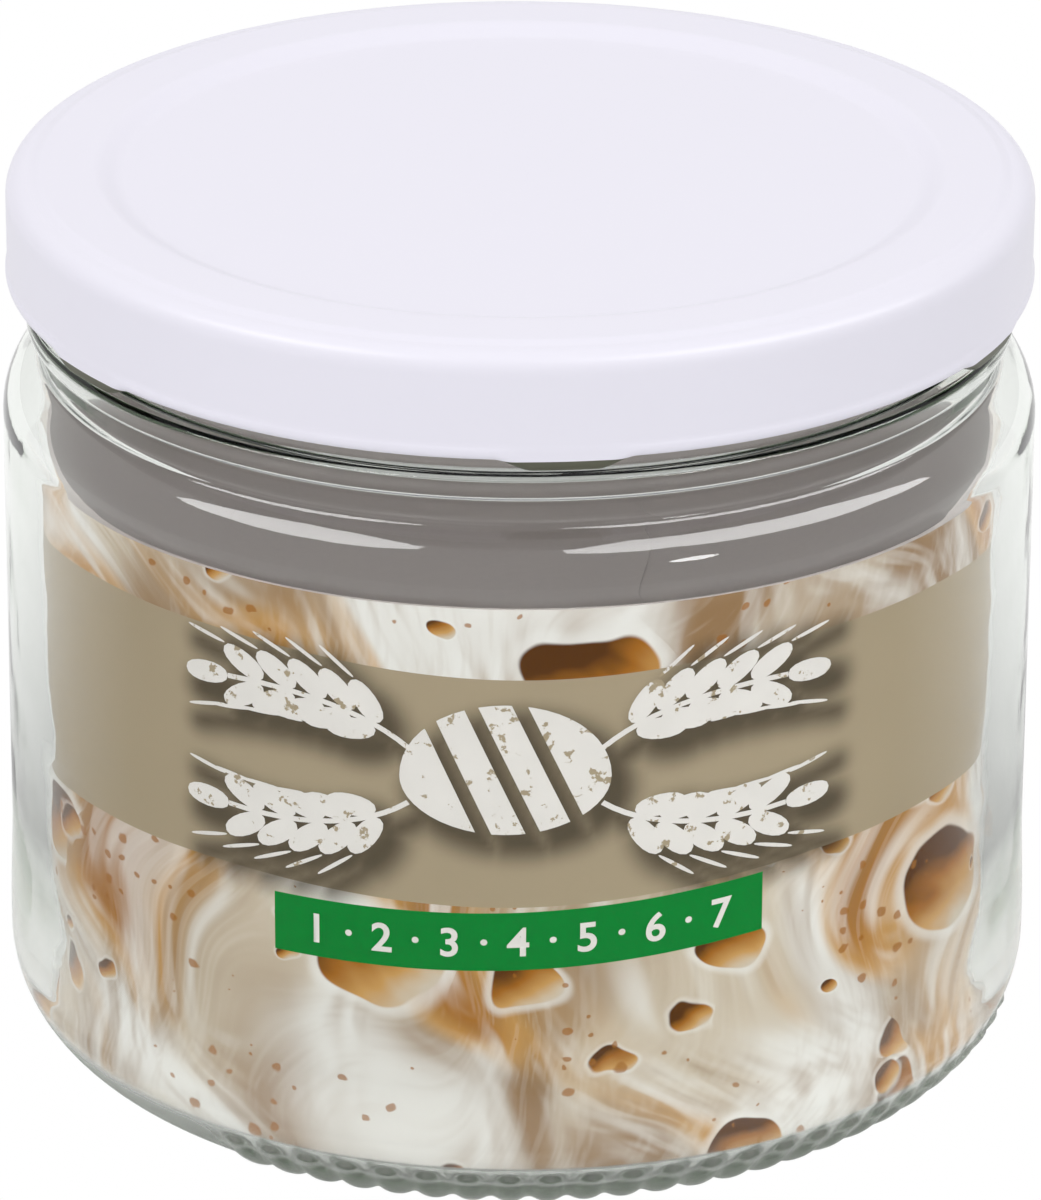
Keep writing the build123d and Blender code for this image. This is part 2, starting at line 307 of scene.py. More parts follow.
def rounded_outline(corners, arc_step=0.35 * MM, quarter_steps=7, hold=0.3 * MM, run_steps=None):
    """Points of an outline from corners (radius, height, rounding), held near both ends of long runs."""
    corners = [tuple(corner) + (0.0,) * (3 - len(corner)) for corner in corners]
    arcs = []
    for index, (r, z, rounding) in enumerate(corners):
        here = Vector((r, z))
        if not rounding or index in (0, len(corners) - 1):
            arcs.append([here])
            continue
        back = (Vector(corners[index - 1][:2]) - here).normalized()
        ahead = (Vector(corners[index + 1][:2]) - here).normalized()
        opening = back.angle(ahead)
        turn = math.pi - opening
        reach = rounding / math.tan(opening / 2)
        centre = here + (back + ahead).normalized() * (rounding / math.sin(opening / 2))
        start = here + back * reach - centre
        side = math.copysign(1.0, back.x * ahead.y - back.y * ahead.x)
        steps = max(2, round(quarter_steps * turn / (math.pi / 2)), round(rounding * turn / arc_step))
        arcs.append(
            [centre + Matrix.Rotation(-side * turn * k / steps, 2) @ start for k in range(steps + 1)]
        )
    points = []
    for index, arc in enumerate(arcs):
        points += arc
        if index == len(arcs) - 1:
            break
        begin, end = arc[-1], arcs[index + 1][0]
        run = (end - begin).length
        steps = (run_steps or {}).get(index, 1)
        shares = {k / steps for k in range(1, steps)}
        if run > 4 * hold:
            shares |= {hold / run, 1 - hold / run}
        points += [begin.lerp(end, share) for share in sorted(shares)]
    kept = [points[0]]
    for point in points[1:]:
        if (point - kept[-1]).length > NEAR:
            kept.append(point)
    return np.array([tuple(p) for p in kept])


def spun(outline, segments):
    """Radius and height of an outline's points at each step round the axis, and the steps' angles."""
    angles = FRONT + 2 * math.pi * np.arange(segments) / segments
    radius = np.repeat(outline[:, :1], segments, axis=1)
    height = np.repeat(outline[:, 1:], segments, axis=1)
    return radius, height, angles


def round_mesh(name, radius, height, angles):
    """A closed mesh from rings of radius and height whose first and last rings lie on the axis."""
    inner = slice(1, -1)
    x, y = radius[inner] * np.cos(angles), radius[inner] * np.sin(angles)
    rings, segments = x.shape
    points = np.stack((x, y, height[inner]), axis=-1).reshape(-1, 3)
    points = np.vstack((points, (0, 0, height[0, 0]), (0, 0, height[-1, 0])))
    first, last = len(points) - 2, len(points) - 1
    here = np.arange(segments)
    after = np.roll(here, -1)
    rows = (np.arange(rings - 1) * segments)[:, None]
    quads = np.stack((rows + here, rows + after, rows + segments + after, rows + segments + here), axis=-1)
    top = (rings - 1) * segments
    faces = [tuple(q) for q in quads.reshape(-1, 4).tolist()]
    faces += [(first, int(b), int(a)) for a, b in zip(here, after)]
    faces += [(last, int(top + a), int(top + b)) for a, b in zip(here, after)]
    return finished_mesh(name, points, faces)


def finished_mesh(name, points, faces, crease=math.radians(40)):
    """A smooth-shaded object from points and faces, with sharp edges where its faces meet steeply."""
    mesh = bpy.data.meshes.new(name)
    mesh.from_pydata([tuple(p) for p in np.asarray(points).tolist()], [], faces)
    mesh.validate()
    mesh.shade_smooth()
    mesh.set_sharp_from_angle(angle=crease)
    piece = bpy.data.objects.new(name, mesh)
    bpy.context.scene.collection.objects.link(piece)
    return piece


def turn_between(angles, centre):
    """Signed angle from a centre to each angle."""
    return (angles - centre + math.pi) % (2 * math.pi) - math.pi


def smooth(low, high, values):
    """Smooth step from 0 at low to 1 at high."""
    share = np.clip((values - low) / (high - low), 0, 1)
    return share * share * (3 - 2 * share)


# Materials


def add_node(tree, kind, inputs=None, stops=None, out=0, **settings):
    """Add a node with its settings, and its inputs from values or links; give back one of its outputs."""
    made = tree.nodes.new(kind)
    for key, value in settings.items():
        setattr(made, key, value)
    for key, value in (inputs or {}).items():
        if isinstance(value, bpy.types.NodeSocket):
            tree.links.new(value, made.inputs[key])
        else:
            made.inputs[key].default_value = value
    if stops:
        band = made.color_ramp
        while len(band.elements) < len(stops):
            band.elements.new(0.5)
        for element, (place, shade) in zip(band.elements, stops):
            element.position = place
            element.color = shade
    return made.outputs[out] if made.outputs else None


def new_material(name):
    """An empty node material and its tree."""
    material = bpy.data.materials.new(name)
    material.use_nodes = True
    material.node_tree.nodes.clear()
    return material, material.node_tree


def grey(level):
    """A grey with full alpha."""
    return (level, level, level, 1.0)


def darker(shade, share):
    """A colour taken down to a share of its level."""
    return tuple(c * share for c in shade[:3]) + (1.0,)


def soda_lime_glass(tint, rib_side):
    """Soda-lime glass, pressed: clear, fire-polished and a little uneven, greenish only where it is thick."""
    material, tree = new_material("soda_lime_glass_pressed")
    place = add_node(tree, COORDINATES, out="Object")
    # Pressing leaves slow waves about 9 mm long, a few hundredths of a millimetre deep
    waves = add_node(tree, NOISE, {"Vector": place, "Scale": 1 / (9 * MM), "Detail": 1.5})
    bump = add_node(tree, BUMP, {"Height": waves, "Strength": 1.0, "Distance": 0.03 * MM})
    # The heel is stippled in the mould, less where the ribs run, and light comes through it dull
    up = add_node(tree, "ShaderNodeSeparateXYZ", {0: place}, out=2)
    dull = add_node(
        tree, RANGE, {"Value": up, "From Min": 4.5 * MM, "From Max": 7.5 * MM, "To Min": 0.34, "To Max": 0.0}
    )
    level_place = add_node(tree, VECTORS, {0: place, 1: (1, 1, 0)}, operation="MULTIPLY")
    away = add_node(tree, VECTORS, {0: level_place}, out=1, operation="LENGTH")
    aim = (math.cos(rib_side), math.sin(rib_side), 0)
    aside = add_node(tree, VECTORS, {0: level_place, 1: aim}, out=1, operation="DOT_PRODUCT")
    aside = add_node(tree, MATHS, {0: aside}, operation="ABSOLUTE")
    aside = add_node(tree, MATHS, {0: aside, 1: away}, operation="DIVIDE")
    share = add_node(
        tree, RANGE, {"Value": aside, "From Min": 0.37, "From Max": 0.44, "To Min": 1.0, "To Max": 0.65}
    )
    dull = add_node(tree, MATHS, {0: dull, 1: share}, operation="MULTIPLY")
    glass = add_node(
        tree,
        PRINCIPLED,
        {"Base Color": grey(1.0), "Roughness": dull, "IOR": 1.52, "Transmission Weight": 1.0, "Normal": bump},
    )
    # Lamps shine straight through, so that what is inside isn't left in the dark
    through = add_node(tree, "ShaderNodeBsdfTransparent", {"Color": grey(0.98)})
    shaded = add_node(tree, LIGHT_PATH, out="Is Shadow Ray")
    mixed = add_node(tree, MIX_SHADERS, {0: shaded, 1: glass, 2: through})
    depth = add_node(tree, "ShaderNodeVolumeAbsorption", {"Color": tuple(tint), "Density": 40.0})
    add_node(tree, OUTPUT, {"Surface": mixed, "Volume": depth})
    return material


def lacquered_tinplate(lacquer):
    """Tinplate, roller-coated with white lacquer: glossy, with a faint orange peel."""
    material, tree = new_material("tinplate_roller_coated_lacquer")
    place = add_node(tree, COORDINATES, out="Object")
    # Orange peel of a roller coat is about 1.2 mm across and a micron or two deep
    peel = add_node(tree, NOISE, {"Vector": place, "Scale": 1 / (1.2 * MM), "Detail": 2.0})
    clouds = add_node(tree, NOISE, {"Vector": place, "Scale": 1 / (22 * MM), "Detail": 3.0})
    bump = add_node(tree, BUMP, {"Height": peel, "Strength": 0.6, "Distance": 0.004 * MM})
    shade = add_node(
        tree, MIX, {"Factor": clouds, 6: tuple(lacquer), 7: darker(lacquer, 0.98)}, out=2, data_type="RGBA"
    )
    gloss = add_node(
        tree,
        RANGE,
        {"Value": clouds, "From Min": 0.3, "From Max": 0.7, "To Min": 0.34, "To Max": 0.40},
        clamp=False,
    )
    shader = add_node(
        tree,
        PRINCIPLED,
        {"Base Color": shade, "Roughness": gloss, "IOR": 1.5, "Specular IOR Level": 0.26, "Normal": bump},
    )
    add_node(tree, OUTPUT, {"Surface": shader})
    return material


def lug_coat_painted_shade(lug):
    """Tinplate with phenolic lacquer, stove-cured: an olive inside coat on the lugs, taken dark as painted
    shade under the curl.
    """
    material, tree = new_material("phenolic_lacquer_and_painted_shade")
    place = add_node(tree, COORDINATES, out="Object")
    clouds = add_node(tree, NOISE, {"Vector": place, "Scale": 1 / (3 * MM), "Detail": 2.0})
    shade = add_node(
        tree, MIX, {"Factor": clouds, 6: tuple(lug), 7: darker(lug, 0.8)}, out=2, data_type="RGBA"
    )
    shader = add_node(tree, PRINCIPLED, {"Base Color": shade, "Roughness": 0.42, "IOR": 1.5})
    add_node(tree, OUTPUT, {"Surface": shader})
    return material


def moulded_compound(compound):
    """Plastisol, flowed in and cured: soft, satin and slightly mottled."""
    material, tree = new_material("plastisol_moulded")
    place = add_node(tree, COORDINATES, out="Object")
    mottle = add_node(tree, NOISE, {"Vector": place, "Scale": 1 / (2.5 * MM), "Detail": 4.0})
    shade = add_node(
        tree, MIX, {"Factor": mottle, 6: tuple(compound), 7: darker(compound, 0.9)}, out=2, data_type="RGBA"
    )
    bump = add_node(tree, BUMP, {"Height": mottle, "Strength": 0.5, "Distance": 0.02 * MM})
    shader = add_node(tree, PRINCIPLED, {"Base Color": shade, "Roughness": 0.5, "IOR": 1.5, "Normal": bump})
    add_node(tree, OUTPUT, {"Surface": shader})
    return material


def bare_card(card):
    """Greyboard, pressed: matt, with short fibres and fine specks."""
    material, tree = new_material("greyboard_pressed")
    place = add_node(tree, COORDINATES, out="Object")
    # Fibres are about 0.15 mm wide; drawn at 0.5 mm so that they show
    fibre = add_node(tree, NOISE, {"Vector": place, "Scale": 1 / (0.5 * MM), "Detail": 4.0})
    shade = add_node(
        tree, MIX, {"Factor": fibre, 6: darker(card, 0.9), 7: tuple(card)}, out=2, data_type="RGBA"
    )
    bump = add_node(tree, BUMP, {"Height": fibre, "Strength": 0.4, "Distance": 0.02 * MM})
    shader = add_node(tree, PRINCIPLED, {"Base Color": shade, "Roughness": 0.85, "IOR": 1.45, "Normal": bump})
    add_node(tree, OUTPUT, {"Surface": shader})
    return material


def pulled_noise(tree, place, width, stretch, slant, bend, detail, seed):
    """Noise pulled out along a slant in strands of a given width, bent by slower noise, in millimetres."""
    sway = add_node(tree, NOISE, {"Vector": place, "Scale": 1 / 30, "Detail": 1.0}, out="Color")
    bent = add_node(tree, VECTORS, {0: sway, 1: (bend, bend, 0.0), 2: place}, operation="MULTIPLY_ADD")
    pulled = add_node(
        tree,
        "ShaderNodeMapping",
        {
            "Vector": bent,
            "Location": (7 * seed, 3 * seed, 0.0),
            "Rotation": (0, 0, math.radians(slant)),
            "Scale": (1.0, stretch, 1.0),
        },
        vector_type="TEXTURE",
    )
    return add_node(
        tree, NOISE, {"Vector": pulled, "Scale": 1 / width, "Detail": detail, "Roughness": 0.45}
    )


def bubbles(tree, place, cell, share, seed, largest=0.34):
    """Distance from a bubble's middle in shares of its radius, and how far a place leans to its lit side."""
    # Slow noise pushes the cells about, so that no bubble is quite round
    wobble = add_node(tree, NOISE, {"Vector": place, "Scale": 1.6 / cell, "Detail": 1.5}, out="Color")
    moved = add_node(
        tree, VECTORS, {0: wobble, 1: (0.42 * cell, 0.42 * cell, 0.0), 2: place}, operation="MULTIPLY_ADD"
    )
    moved = add_node(
        tree, VECTORS, {0: moved, 1: (1.0, 1.2, 1.0), 2: (seed, 2.3 * seed, 0.0)}, operation="MULTIPLY_ADD"
    )
    middle = add_node(
        tree,
        "ShaderNodeTexVoronoi",
        {"Vector": moved, "Scale": 1 / cell, "Randomness": 0.85},
        out="Position",
        voronoi_dimensions="2D",
    )
    # A share of the cells, picked by their random colour, holds a bubble, and the pick also sizes it
    cells = middle.node
    pick = add_node(tree, "ShaderNodeSeparateColor", {"Color": cells.outputs["Color"]})
    size = add_node(
        tree,
        RANGE,
        {"Value": pick, "From Min": 1 - share, "From Max": 1.0, "To Min": 0.35 * largest, "To Max": largest},
    )
    there = add_node(tree, MATHS, {0: pick, 1: 1 - share}, operation="GREATER_THAN")
    size = add_node(tree, MATHS, {0: size, 1: there, 2: 0.001}, operation="MULTIPLY_ADD")
    ratio = add_node(tree, MATHS, {0: cells.outputs["Distance"], 1: size}, operation="DIVIDE")
    local = add_node(tree, VECTORS, {0: moved, 1: middle}, operation="SUBTRACT")
    lit_side = (0.62 / cell, -0.78 / cell, 0.0)
    lean = add_node(tree, VECTORS, {0: local, 1: lit_side}, out=1, operation="DOT_PRODUCT")
    return ratio, add_node(tree, MATHS, {0: lean, 1: size}, operation="DIVIDE")


def laid_over(tree, value, low, high, amount, under, over):
    """A colour laid over another where a value goes smoothly from low to high."""
    share = add_node(
        tree,
        RANGE,
        {"Value": value, "From Min": low, "From Max": high, "To Min": 0.0, "To Max": amount},
        interpolation_type="SMOOTHSTEP",
    )
    return add_node(tree, MIX, {0: share, 6: under, 7: over}, out=2, data_type="RGBA")


def stretched_dough(tree, place, colours):
    """Printed dough: smooth pale folds, warm runs, white strands, bubbles and pinholes, in millimetres."""
    bright, pale = tuple(colours.dough_bright), tuple(colours.dough_light)
    shaded, tan = tuple(colours.dough_shade), tuple(colours.dough_tan)
    amber, dark = tuple(colours.dough_amber), tuple(colours.dough_dark)

    # Broad folds, pale to softly shaded over 10 to 20 mm, and white swells among them
    folds = pulled_noise(tree, place, 17.0, 2.2, -38, 34.0, 2.0, 5.0)
    dough = laid_over(tree, folds, 0.43, 0.62, 1.0, shaded, pale)
    swells = pulled_noise(tree, place, 21.0, 1.7, 28, 30.0, 2.0, 12.0)
    dough = laid_over(tree, swells, 0.49, 0.62, 0.9, dough, bright)
    # Thin runs 4 to 9 mm wide where the warm side shows through, sharper on their upper edge
    runs = pulled_noise(tree, place, 15.0, 3.0, 38, 44.0, 1.5, 31.0)
    dough = laid_over(tree, runs, 0.50, 0.62, 1.0, dough, tan)
    dough = laid_over(tree, runs, 0.57, 0.70, 0.85, dough, amber)
    # Strands 3 to 5 mm wide and wrinkles of about 1 mm, lit from the upper left
    for width, seed, slant, amount in ((9.0, 4.0, 20, 0.6), (4.5, 47.0, 34, 0.3), (1.9, 71.0, -24, 0.1)):
        pull = pulled_noise(tree, place, width, 3.6, slant, 40.0, 2.0, seed)
        aside = add_node(tree, VECTORS, {0: place, 1: (0.09 * width, -0.11 * width, 0.0)}, operation="ADD")
        lit = pulled_noise(tree, aside, width, 3.6, slant, 40.0, 2.0, seed)
        relief = add_node(tree, MATHS, {0: pull, 1: lit}, operation="SUBTRACT")
        dough = laid_over(tree, relief, 0.0, 0.055, amount, dough, bright)
        dough = laid_over(tree, relief, 0.0, -0.06, 0.75 * amount, dough, shaded)

    # Bubbles 5 to 10 mm and 2 to 3 mm across, dark at their upper left, and patches of fine pinholes
    for cell, share, seed, edge, rim in ((17.0, 0.55, 3.7, 0.05, 0.6), (6.5, 0.2, 9.1, 0.12, 0.4)):
        ratio, lean = bubbles(tree, place, cell, share, seed)
        dough = laid_over(tree, ratio, 1.35, 1.05, rim, dough, bright)
        clouds = pulled_noise(tree, place, 3.5, 2.0, 60, 10.0, 2.5, seed)
        level = add_node(tree, MATHS, {0: lean, 1: 0.5, 2: -0.02}, operation="MULTIPLY_ADD")
        level = add_node(tree, MATHS, {0: clouds, 1: 0.6, 2: level}, operation="MULTIPLY_ADD")
        depth = add_node(
            tree,
            "ShaderNodeValToRGB",
            {"Fac": level},
            stops=[(0.0, dark), (0.2, amber), (0.5, tan), (0.78, pale)],
        )
        dough = laid_over(tree, ratio, 1.0 + edge / 2, 1.0 - edge, 1.0, dough, depth)
    patches = add_node(tree, NOISE, {"Vector": place, "Scale": 1 / 15, "Detail": 0.0})
    ratio, lean = bubbles(tree, place, 2.0, 0.3, 21.0)
    pin = add_node(
        tree, RANGE, {"Value": patches, "From Min": 0.48, "From Max": 0.58, "To Min": 0.01, "To Max": 1.0}
    )
    ratio = add_node(tree, MATHS, {0: ratio, 1: pin}, operation="DIVIDE")
    return laid_over(tree, ratio, 1.0, 0.6, 0.75, dough, amber)


def printed_card(colours, sleeve):
    """Coated card, offset printed: stretched dough above and below a plain band, a tab under the band."""
    material, tree = new_material("coated_card_offset_printed")
    sheet_uv = add_node(tree, "ShaderNodeUVMap", uv_map="print")
    low, high, left, right = print_span(sleeve)
    span = ((right - left) / MM, (high - low) / MM, 1.0)
    place = add_node(
        tree, VECTORS, {0: sheet_uv, 1: span, 2: (left / MM, low / MM, 0.0)}, operation="MULTIPLY_ADD"
    )
    across = add_node(tree, "ShaderNodeSeparateXYZ", {0: place})
    up = across.node.outputs[1]
    art = stretched_dough(tree, place, colours)

    # The print's level lines rise a little on both sides of the front and fall again towards the back
    reach = add_node(tree, MATHS, {0: across}, operation="ABSOLUTE")
    rise = 0.0
    falling = (sleeve.bow_end, sleeve.bow_gone, sleeve.bow)
    for start, end, drop in ((0.0, sleeve.bow_full, -sleeve.bow), falling):
        limits = {"From Min": start / MM, "From Max": end / MM, "To Min": 0.0, "To Max": drop / MM}
        ease = add_node(tree, RANGE, {"Value": reach, **limits}, interpolation_type="SMOOTHSTEP")
        rise = add_node(tree, MATHS, {0: ease, 1: rise}, operation="ADD")
    band_up = add_node(tree, MATHS, {0: rise, 1: up}, operation="ADD")
    # The band's foot runs half as slanted as the tab, and level again where the ends meet
    limits = {"From Min": sleeve.bow_gone / MM, "From Max": sleeve.foot_level / MM}
    lean = add_node(tree, RANGE, {"Value": reach, **limits, "To Min": -sleeve.tab_slope / 2, "To Max": 0.0})
    band_foot = add_node(tree, MATHS, {0: across, 1: lean, 2: band_up}, operation="MULTIPLY_ADD")
    half_up = add_node(tree, MATHS, {0: rise, 1: 0.5, 2: up}, operation="MULTIPLY_ADD")
    tab_up = add_node(tree, MATHS, {0: across, 1: -sleeve.tab_slope, 2: half_up}, operation="MULTIPLY_ADD")
    shadow = add_node(tree, "ShaderNodeAttribute", out="Fac", attribute_name="emblem_shadow")
    # Each layer of ink: its colour, how dense it is, and the limits between which it lies
    layers = (
        (tuple(colours.band), 1.0, ((band_up, 1, sleeve.band_top), (band_foot, -1, sleeve.band_bottom))),
        (tuple(colours.shadow), 0.85, ((shadow, 0, 0.0),)),
        (
            tuple(colours.tab),
            1.0,
            (
                (tab_up, 1, sleeve.tab_top),
                (tab_up, -1, sleeve.tab_bottom),
                (across, 1, sleeve.tab_right),
                (across, -1, sleeve.tab_left),
            ),
        ),
    )
    for shade, density, limits in layers:
        covered = density
        for value, side, limit in limits:
            if side:
                kind = "LESS_THAN" if side > 0 else "GREATER_THAN"
                value = add_node(tree, MATHS, {0: value, 1: limit / MM}, operation=kind)
            covered = add_node(tree, MATHS, {0: value, 1: covered}, operation="MULTIPLY")
        art = add_node(tree, MIX, {0: covered, 6: art, 7: shade}, out=2, data_type="RGBA")
    # Coating unevenness about 0.6 mm across
    coat = add_node(tree, NOISE, {"Vector": place, "Scale": 1 / 0.6, "Detail": 2.0})
    bump = add_node(tree, BUMP, {"Height": coat, "Strength": 0.3, "Distance": 0.01 * MM})
    shader = add_node(
        tree,
        PRINCIPLED,
        {"Base Color": art, "Roughness": 0.6, "IOR": 1.45, "Specular IOR Level": 0.0, "Normal": bump},
    )
    add_node(tree, OUTPUT, {"Surface": shader})
    return material


def worn_ink(ink, under, wear):
    """White ink, screen printed and worn: chips and specks down to what lies under it."""
    material, tree = new_material("white_ink_screen_printed")
    place = add_node(tree, COORDINATES, out="Object")
    # Chips are about 0.9 mm and specks about 0.3 mm
    chips = add_node(
        tree, NOISE, {"Vector": place, "Scale": 1 / (1.3 * MM), "Detail": 5.0, "Roughness": 0.62}
    )
    tone = add_node(tree, NOISE, {"Vector": place, "Scale": 1 / (3.5 * MM), "Detail": 3.0})
    face = add_node(tree, MIX, {0: tone, 6: tuple(ink), 7: darker(ink, 0.88)}, out=2, data_type="RGBA")
    face = laid_over(tree, chips, wear, wear + 0.03, 1.0, face, tuple(under))
    shader = add_node(
        tree, PRINCIPLED, {"Base Color": face, "Roughness": 0.6, "IOR": 1.45, "Specular IOR Level": 0.0}
    )
    add_node(tree, OUTPUT, {"Surface": shader})
    return material


# Sleeve print


def print_span(sleeve):
    """Lowest and highest level of the sleeve, and its left and right ends along the card from the front."""
    inner_turn = sleeve.radius - sleeve.layer_pitch / 2
    return sleeve.bottom, sleeve.top, -inner_turn * (math.pi + sleeve.overlap), sleeve.radius * math.pi


def bowed(sleeve, along, level, bow, slope):
    """Levels of a part of the print, with its share of the print's bow and its own slope along the card."""
    reach = np.abs(along)
    lift = smooth(0, sleeve.bow_full, reach) - smooth(sleeve.bow_end, sleeve.bow_gone, reach)
    return level + bow * sleeve.bow * lift + slope * along


def on_sleeve(sleeve, along, level, lift):
    """Points in space for places along the card, at a level and so far out from its printed face."""
    along, level = np.broadcast_arrays(np.asarray(along, float), np.asarray(level, float))
    turn = np.where(along < 0, sleeve.radius - sleeve.layer_pitch / 2, sleeve.radius)
    middle = np.where(along < 0, -sleeve.layer_pitch / 2, 0.0)
    angles = FRONT + along / turn
    reach = turn + lift
    return np.stack((reach * np.cos(angles), middle + reach * np.sin(angles), level), axis=-1)


def grain(place, direction, size, slim=0.46):
    """Outline of one grain, pointed at both ends."""
    share = np.linspace(0, math.pi, 9)
    along = (1 - np.cos(share)) / 2 * size
    half = slim * size / 2 * np.sin(share) ** 0.85
    ring = np.concatenate((np.stack((along, half), 1), np.stack((along[-2:0:-1], -half[-2:0:-1]), 1)))
    c, s = math.cos(direction), math.sin(direction)
    return ring @ np.array(((c, s), (-s, c))) + place


def ear(start, bend, end, pairs, size):
    """Outlines of one ear: a bent stalk with pairs of grains, a whisker from each and a grain at the tip."""
    start, bend, end = (np.array(p, float) for p in (start, bend, end))

    def stalk(share):
        place = (1 - share) ** 2 * start + 2 * share * (1 - share) * bend + share**2 * end
        ahead = 2 * (1 - share) * (bend - start) + 2 * share * (end - bend)
        return place, ahead / np.linalg.norm(ahead)

    def heading(ahead, turn=0.0):
        return math.atan2(ahead[1], ahead[0]) + turn

    def sideways(ahead):
        return np.array((-ahead[1], ahead[0]))

    # The grains start a fifth of the way up and splay out by about 30 degrees, a whisker off each tip
    first, spread, last = 0.2, 0.72, 0.93
    splay, whisker_splay, half_stalk = 0.5, 0.22, 0.22
    shapes = []
    for step in range(pairs):
        place, ahead = stalk(first + spread * step / pairs)
        for side in (-1, 1):
            across = side * sideways(ahead)
            shapes.append(grain(place + 0.42 * across, heading(ahead, side * splay), size))
            tip = place + (0.66 * across + 0.86 * ahead) * size
            shapes.append(grain(tip, heading(ahead, side * whisker_splay), 0.9 * size, slim=0.09))
    place, ahead = stalk(last)
    shapes.append(grain(place, heading(ahead), size))
    places = [stalk(share) for share in np.linspace(0, last, 13)]
    for (here, ahead), (there, beyond) in zip(places, places[1:]):
        left, right = half_stalk * sideways(ahead), half_stalk * sideways(beyond)
        shapes.append(np.array((here - left, there - right, there + right, here + left)))
    return shapes


def clipped(ring, normal, offset):
    """The part of a convex outline on the far side of a line."""
    kept = []
    for here, after in zip(ring, np.roll(ring, -1, axis=0)):
        a, b = here @ normal - offset, after @ normal - offset
        if a >= 0:
            kept.append(here)
        if a * b < 0:
            kept.append(here + (after - here) * a / (a - b))
    return np.array(kept)


def emblem_shapes():
    """Outlines of the emblem, in millimetres from its middle: a scored loaf between four ears."""
    half_width, height, flattened, drop = 8.3, 6.6, 0.72, 0.3
    share = np.linspace(0, 2 * math.pi, 49)[:-1]
    loaf = np.stack((half_width * np.cos(share), height * np.sin(share)), 1)
    loaf[:, 1] = np.where(loaf[:, 1] < 0, loaf[:, 1] * flattened, loaf[:, 1]) - drop
    # Three slanted cuts part the loaf into four strips, each from one place across it to the next
    tilt = math.radians(24)
    slant = np.array((math.cos(tilt), math.sin(tilt)))
    strips = ((-20.0, -4.1), (-3.0, -0.55), (0.55, 3.0), (4.1, 20.0))
    shapes = [clipped(clipped(loaf, slant, low), -slant, -high) for low, high in strips]
    # Each ear starts at the loaf, bends and ends at its tip, with five pairs of grains 4.1 mm long
    for side in (-1, 1):
        for start, bend, end in ((2.2, 6.6, 5.4), (-2.6, -6.6, -5.6)):
            shapes += ear((side * 7.6, start), (side * 13.0, bend), (side * 24.6, end), 5, 4.1)
    return shapes


def printed_shapes(name, shapes, sleeve, centre, level):
    """Thin printed shapes bent round the sleeve, from outlines in millimetres."""
    plan = bmesh.new()
    for ring in shapes:
        plan.faces.new([plan.verts.new((x * MM + centre, y * MM + level, 0)) for x, y in ring])
    return bent_print(name, plan, sleeve, sleeve.emblem_slope)


def bent_print(name, plan, sleeve, slope):
    """Cut a flat plan into narrow strips and bend it round the sleeve, along the print's bow."""
    strip = 1.0 * MM
    reach = [v.co.x for v in plan.verts]
    for cut in np.arange(min(reach), max(reach), strip):
        everything = plan.verts[:] + plan.edges[:] + plan.faces[:]
        bmesh.ops.bisect_plane(plan, geom=everything, plane_co=(cut, 0, 0), plane_no=(1, 0, 0))
    bmesh.ops.triangulate(plan, faces=plan.faces[:])
    for vert in plan.verts:
        level = bowed(sleeve, vert.co.x, vert.co.y, 0.5, slope)
        vert.co = Vector(on_sleeve(sleeve, vert.co.x, level, sleeve.ink))
    bmesh.ops.recalc_face_normals(plan, faces=plan.faces[:])
    for face in plan.faces:
        face.normal_update()
        outward = face.calc_center_median()
        if face.normal.x * outward.x + face.normal.y * outward.y < 0:
            face.normal_flip()
        face.smooth = True
    mesh = bpy.data.meshes.new(name)
    plan.to_mesh(mesh)
    plan.free()
    piece = bpy.data.objects.new(name, mesh)
    bpy.context.scene.collection.objects.link(piece)
    return piece


def distance_to_shapes(points, shapes):
    """Rough distance in millimetres from each point to the nearest outline, less than zero inside."""
    nearest = np.full(len(points), FAR)
    for ring in shapes:
        after = np.roll(ring, -1, axis=0)
        near = np.full(len(points), FAR)
        inside = np.zeros(len(points), bool)
        for a, b in zip(ring, after):
            edge = b - a
            share = np.clip(((points - a) @ edge) / max(edge @ edge, 1e-9), 0, 1)
            near = np.minimum(near, np.linalg.norm(points - a - share[:, None] * edge, axis=1))
            crosses = (a[1] > points[:, 1]) != (b[1] > points[:, 1])
            at = a[0] + (points[:, 1] - a[1]) * edge[0] / (edge[1] if edge[1] else 1e-9)
            inside ^= crosses & (points[:, 0] < at)
        nearest = np.minimum(nearest, np.where(inside, -near, near))
    return nearest


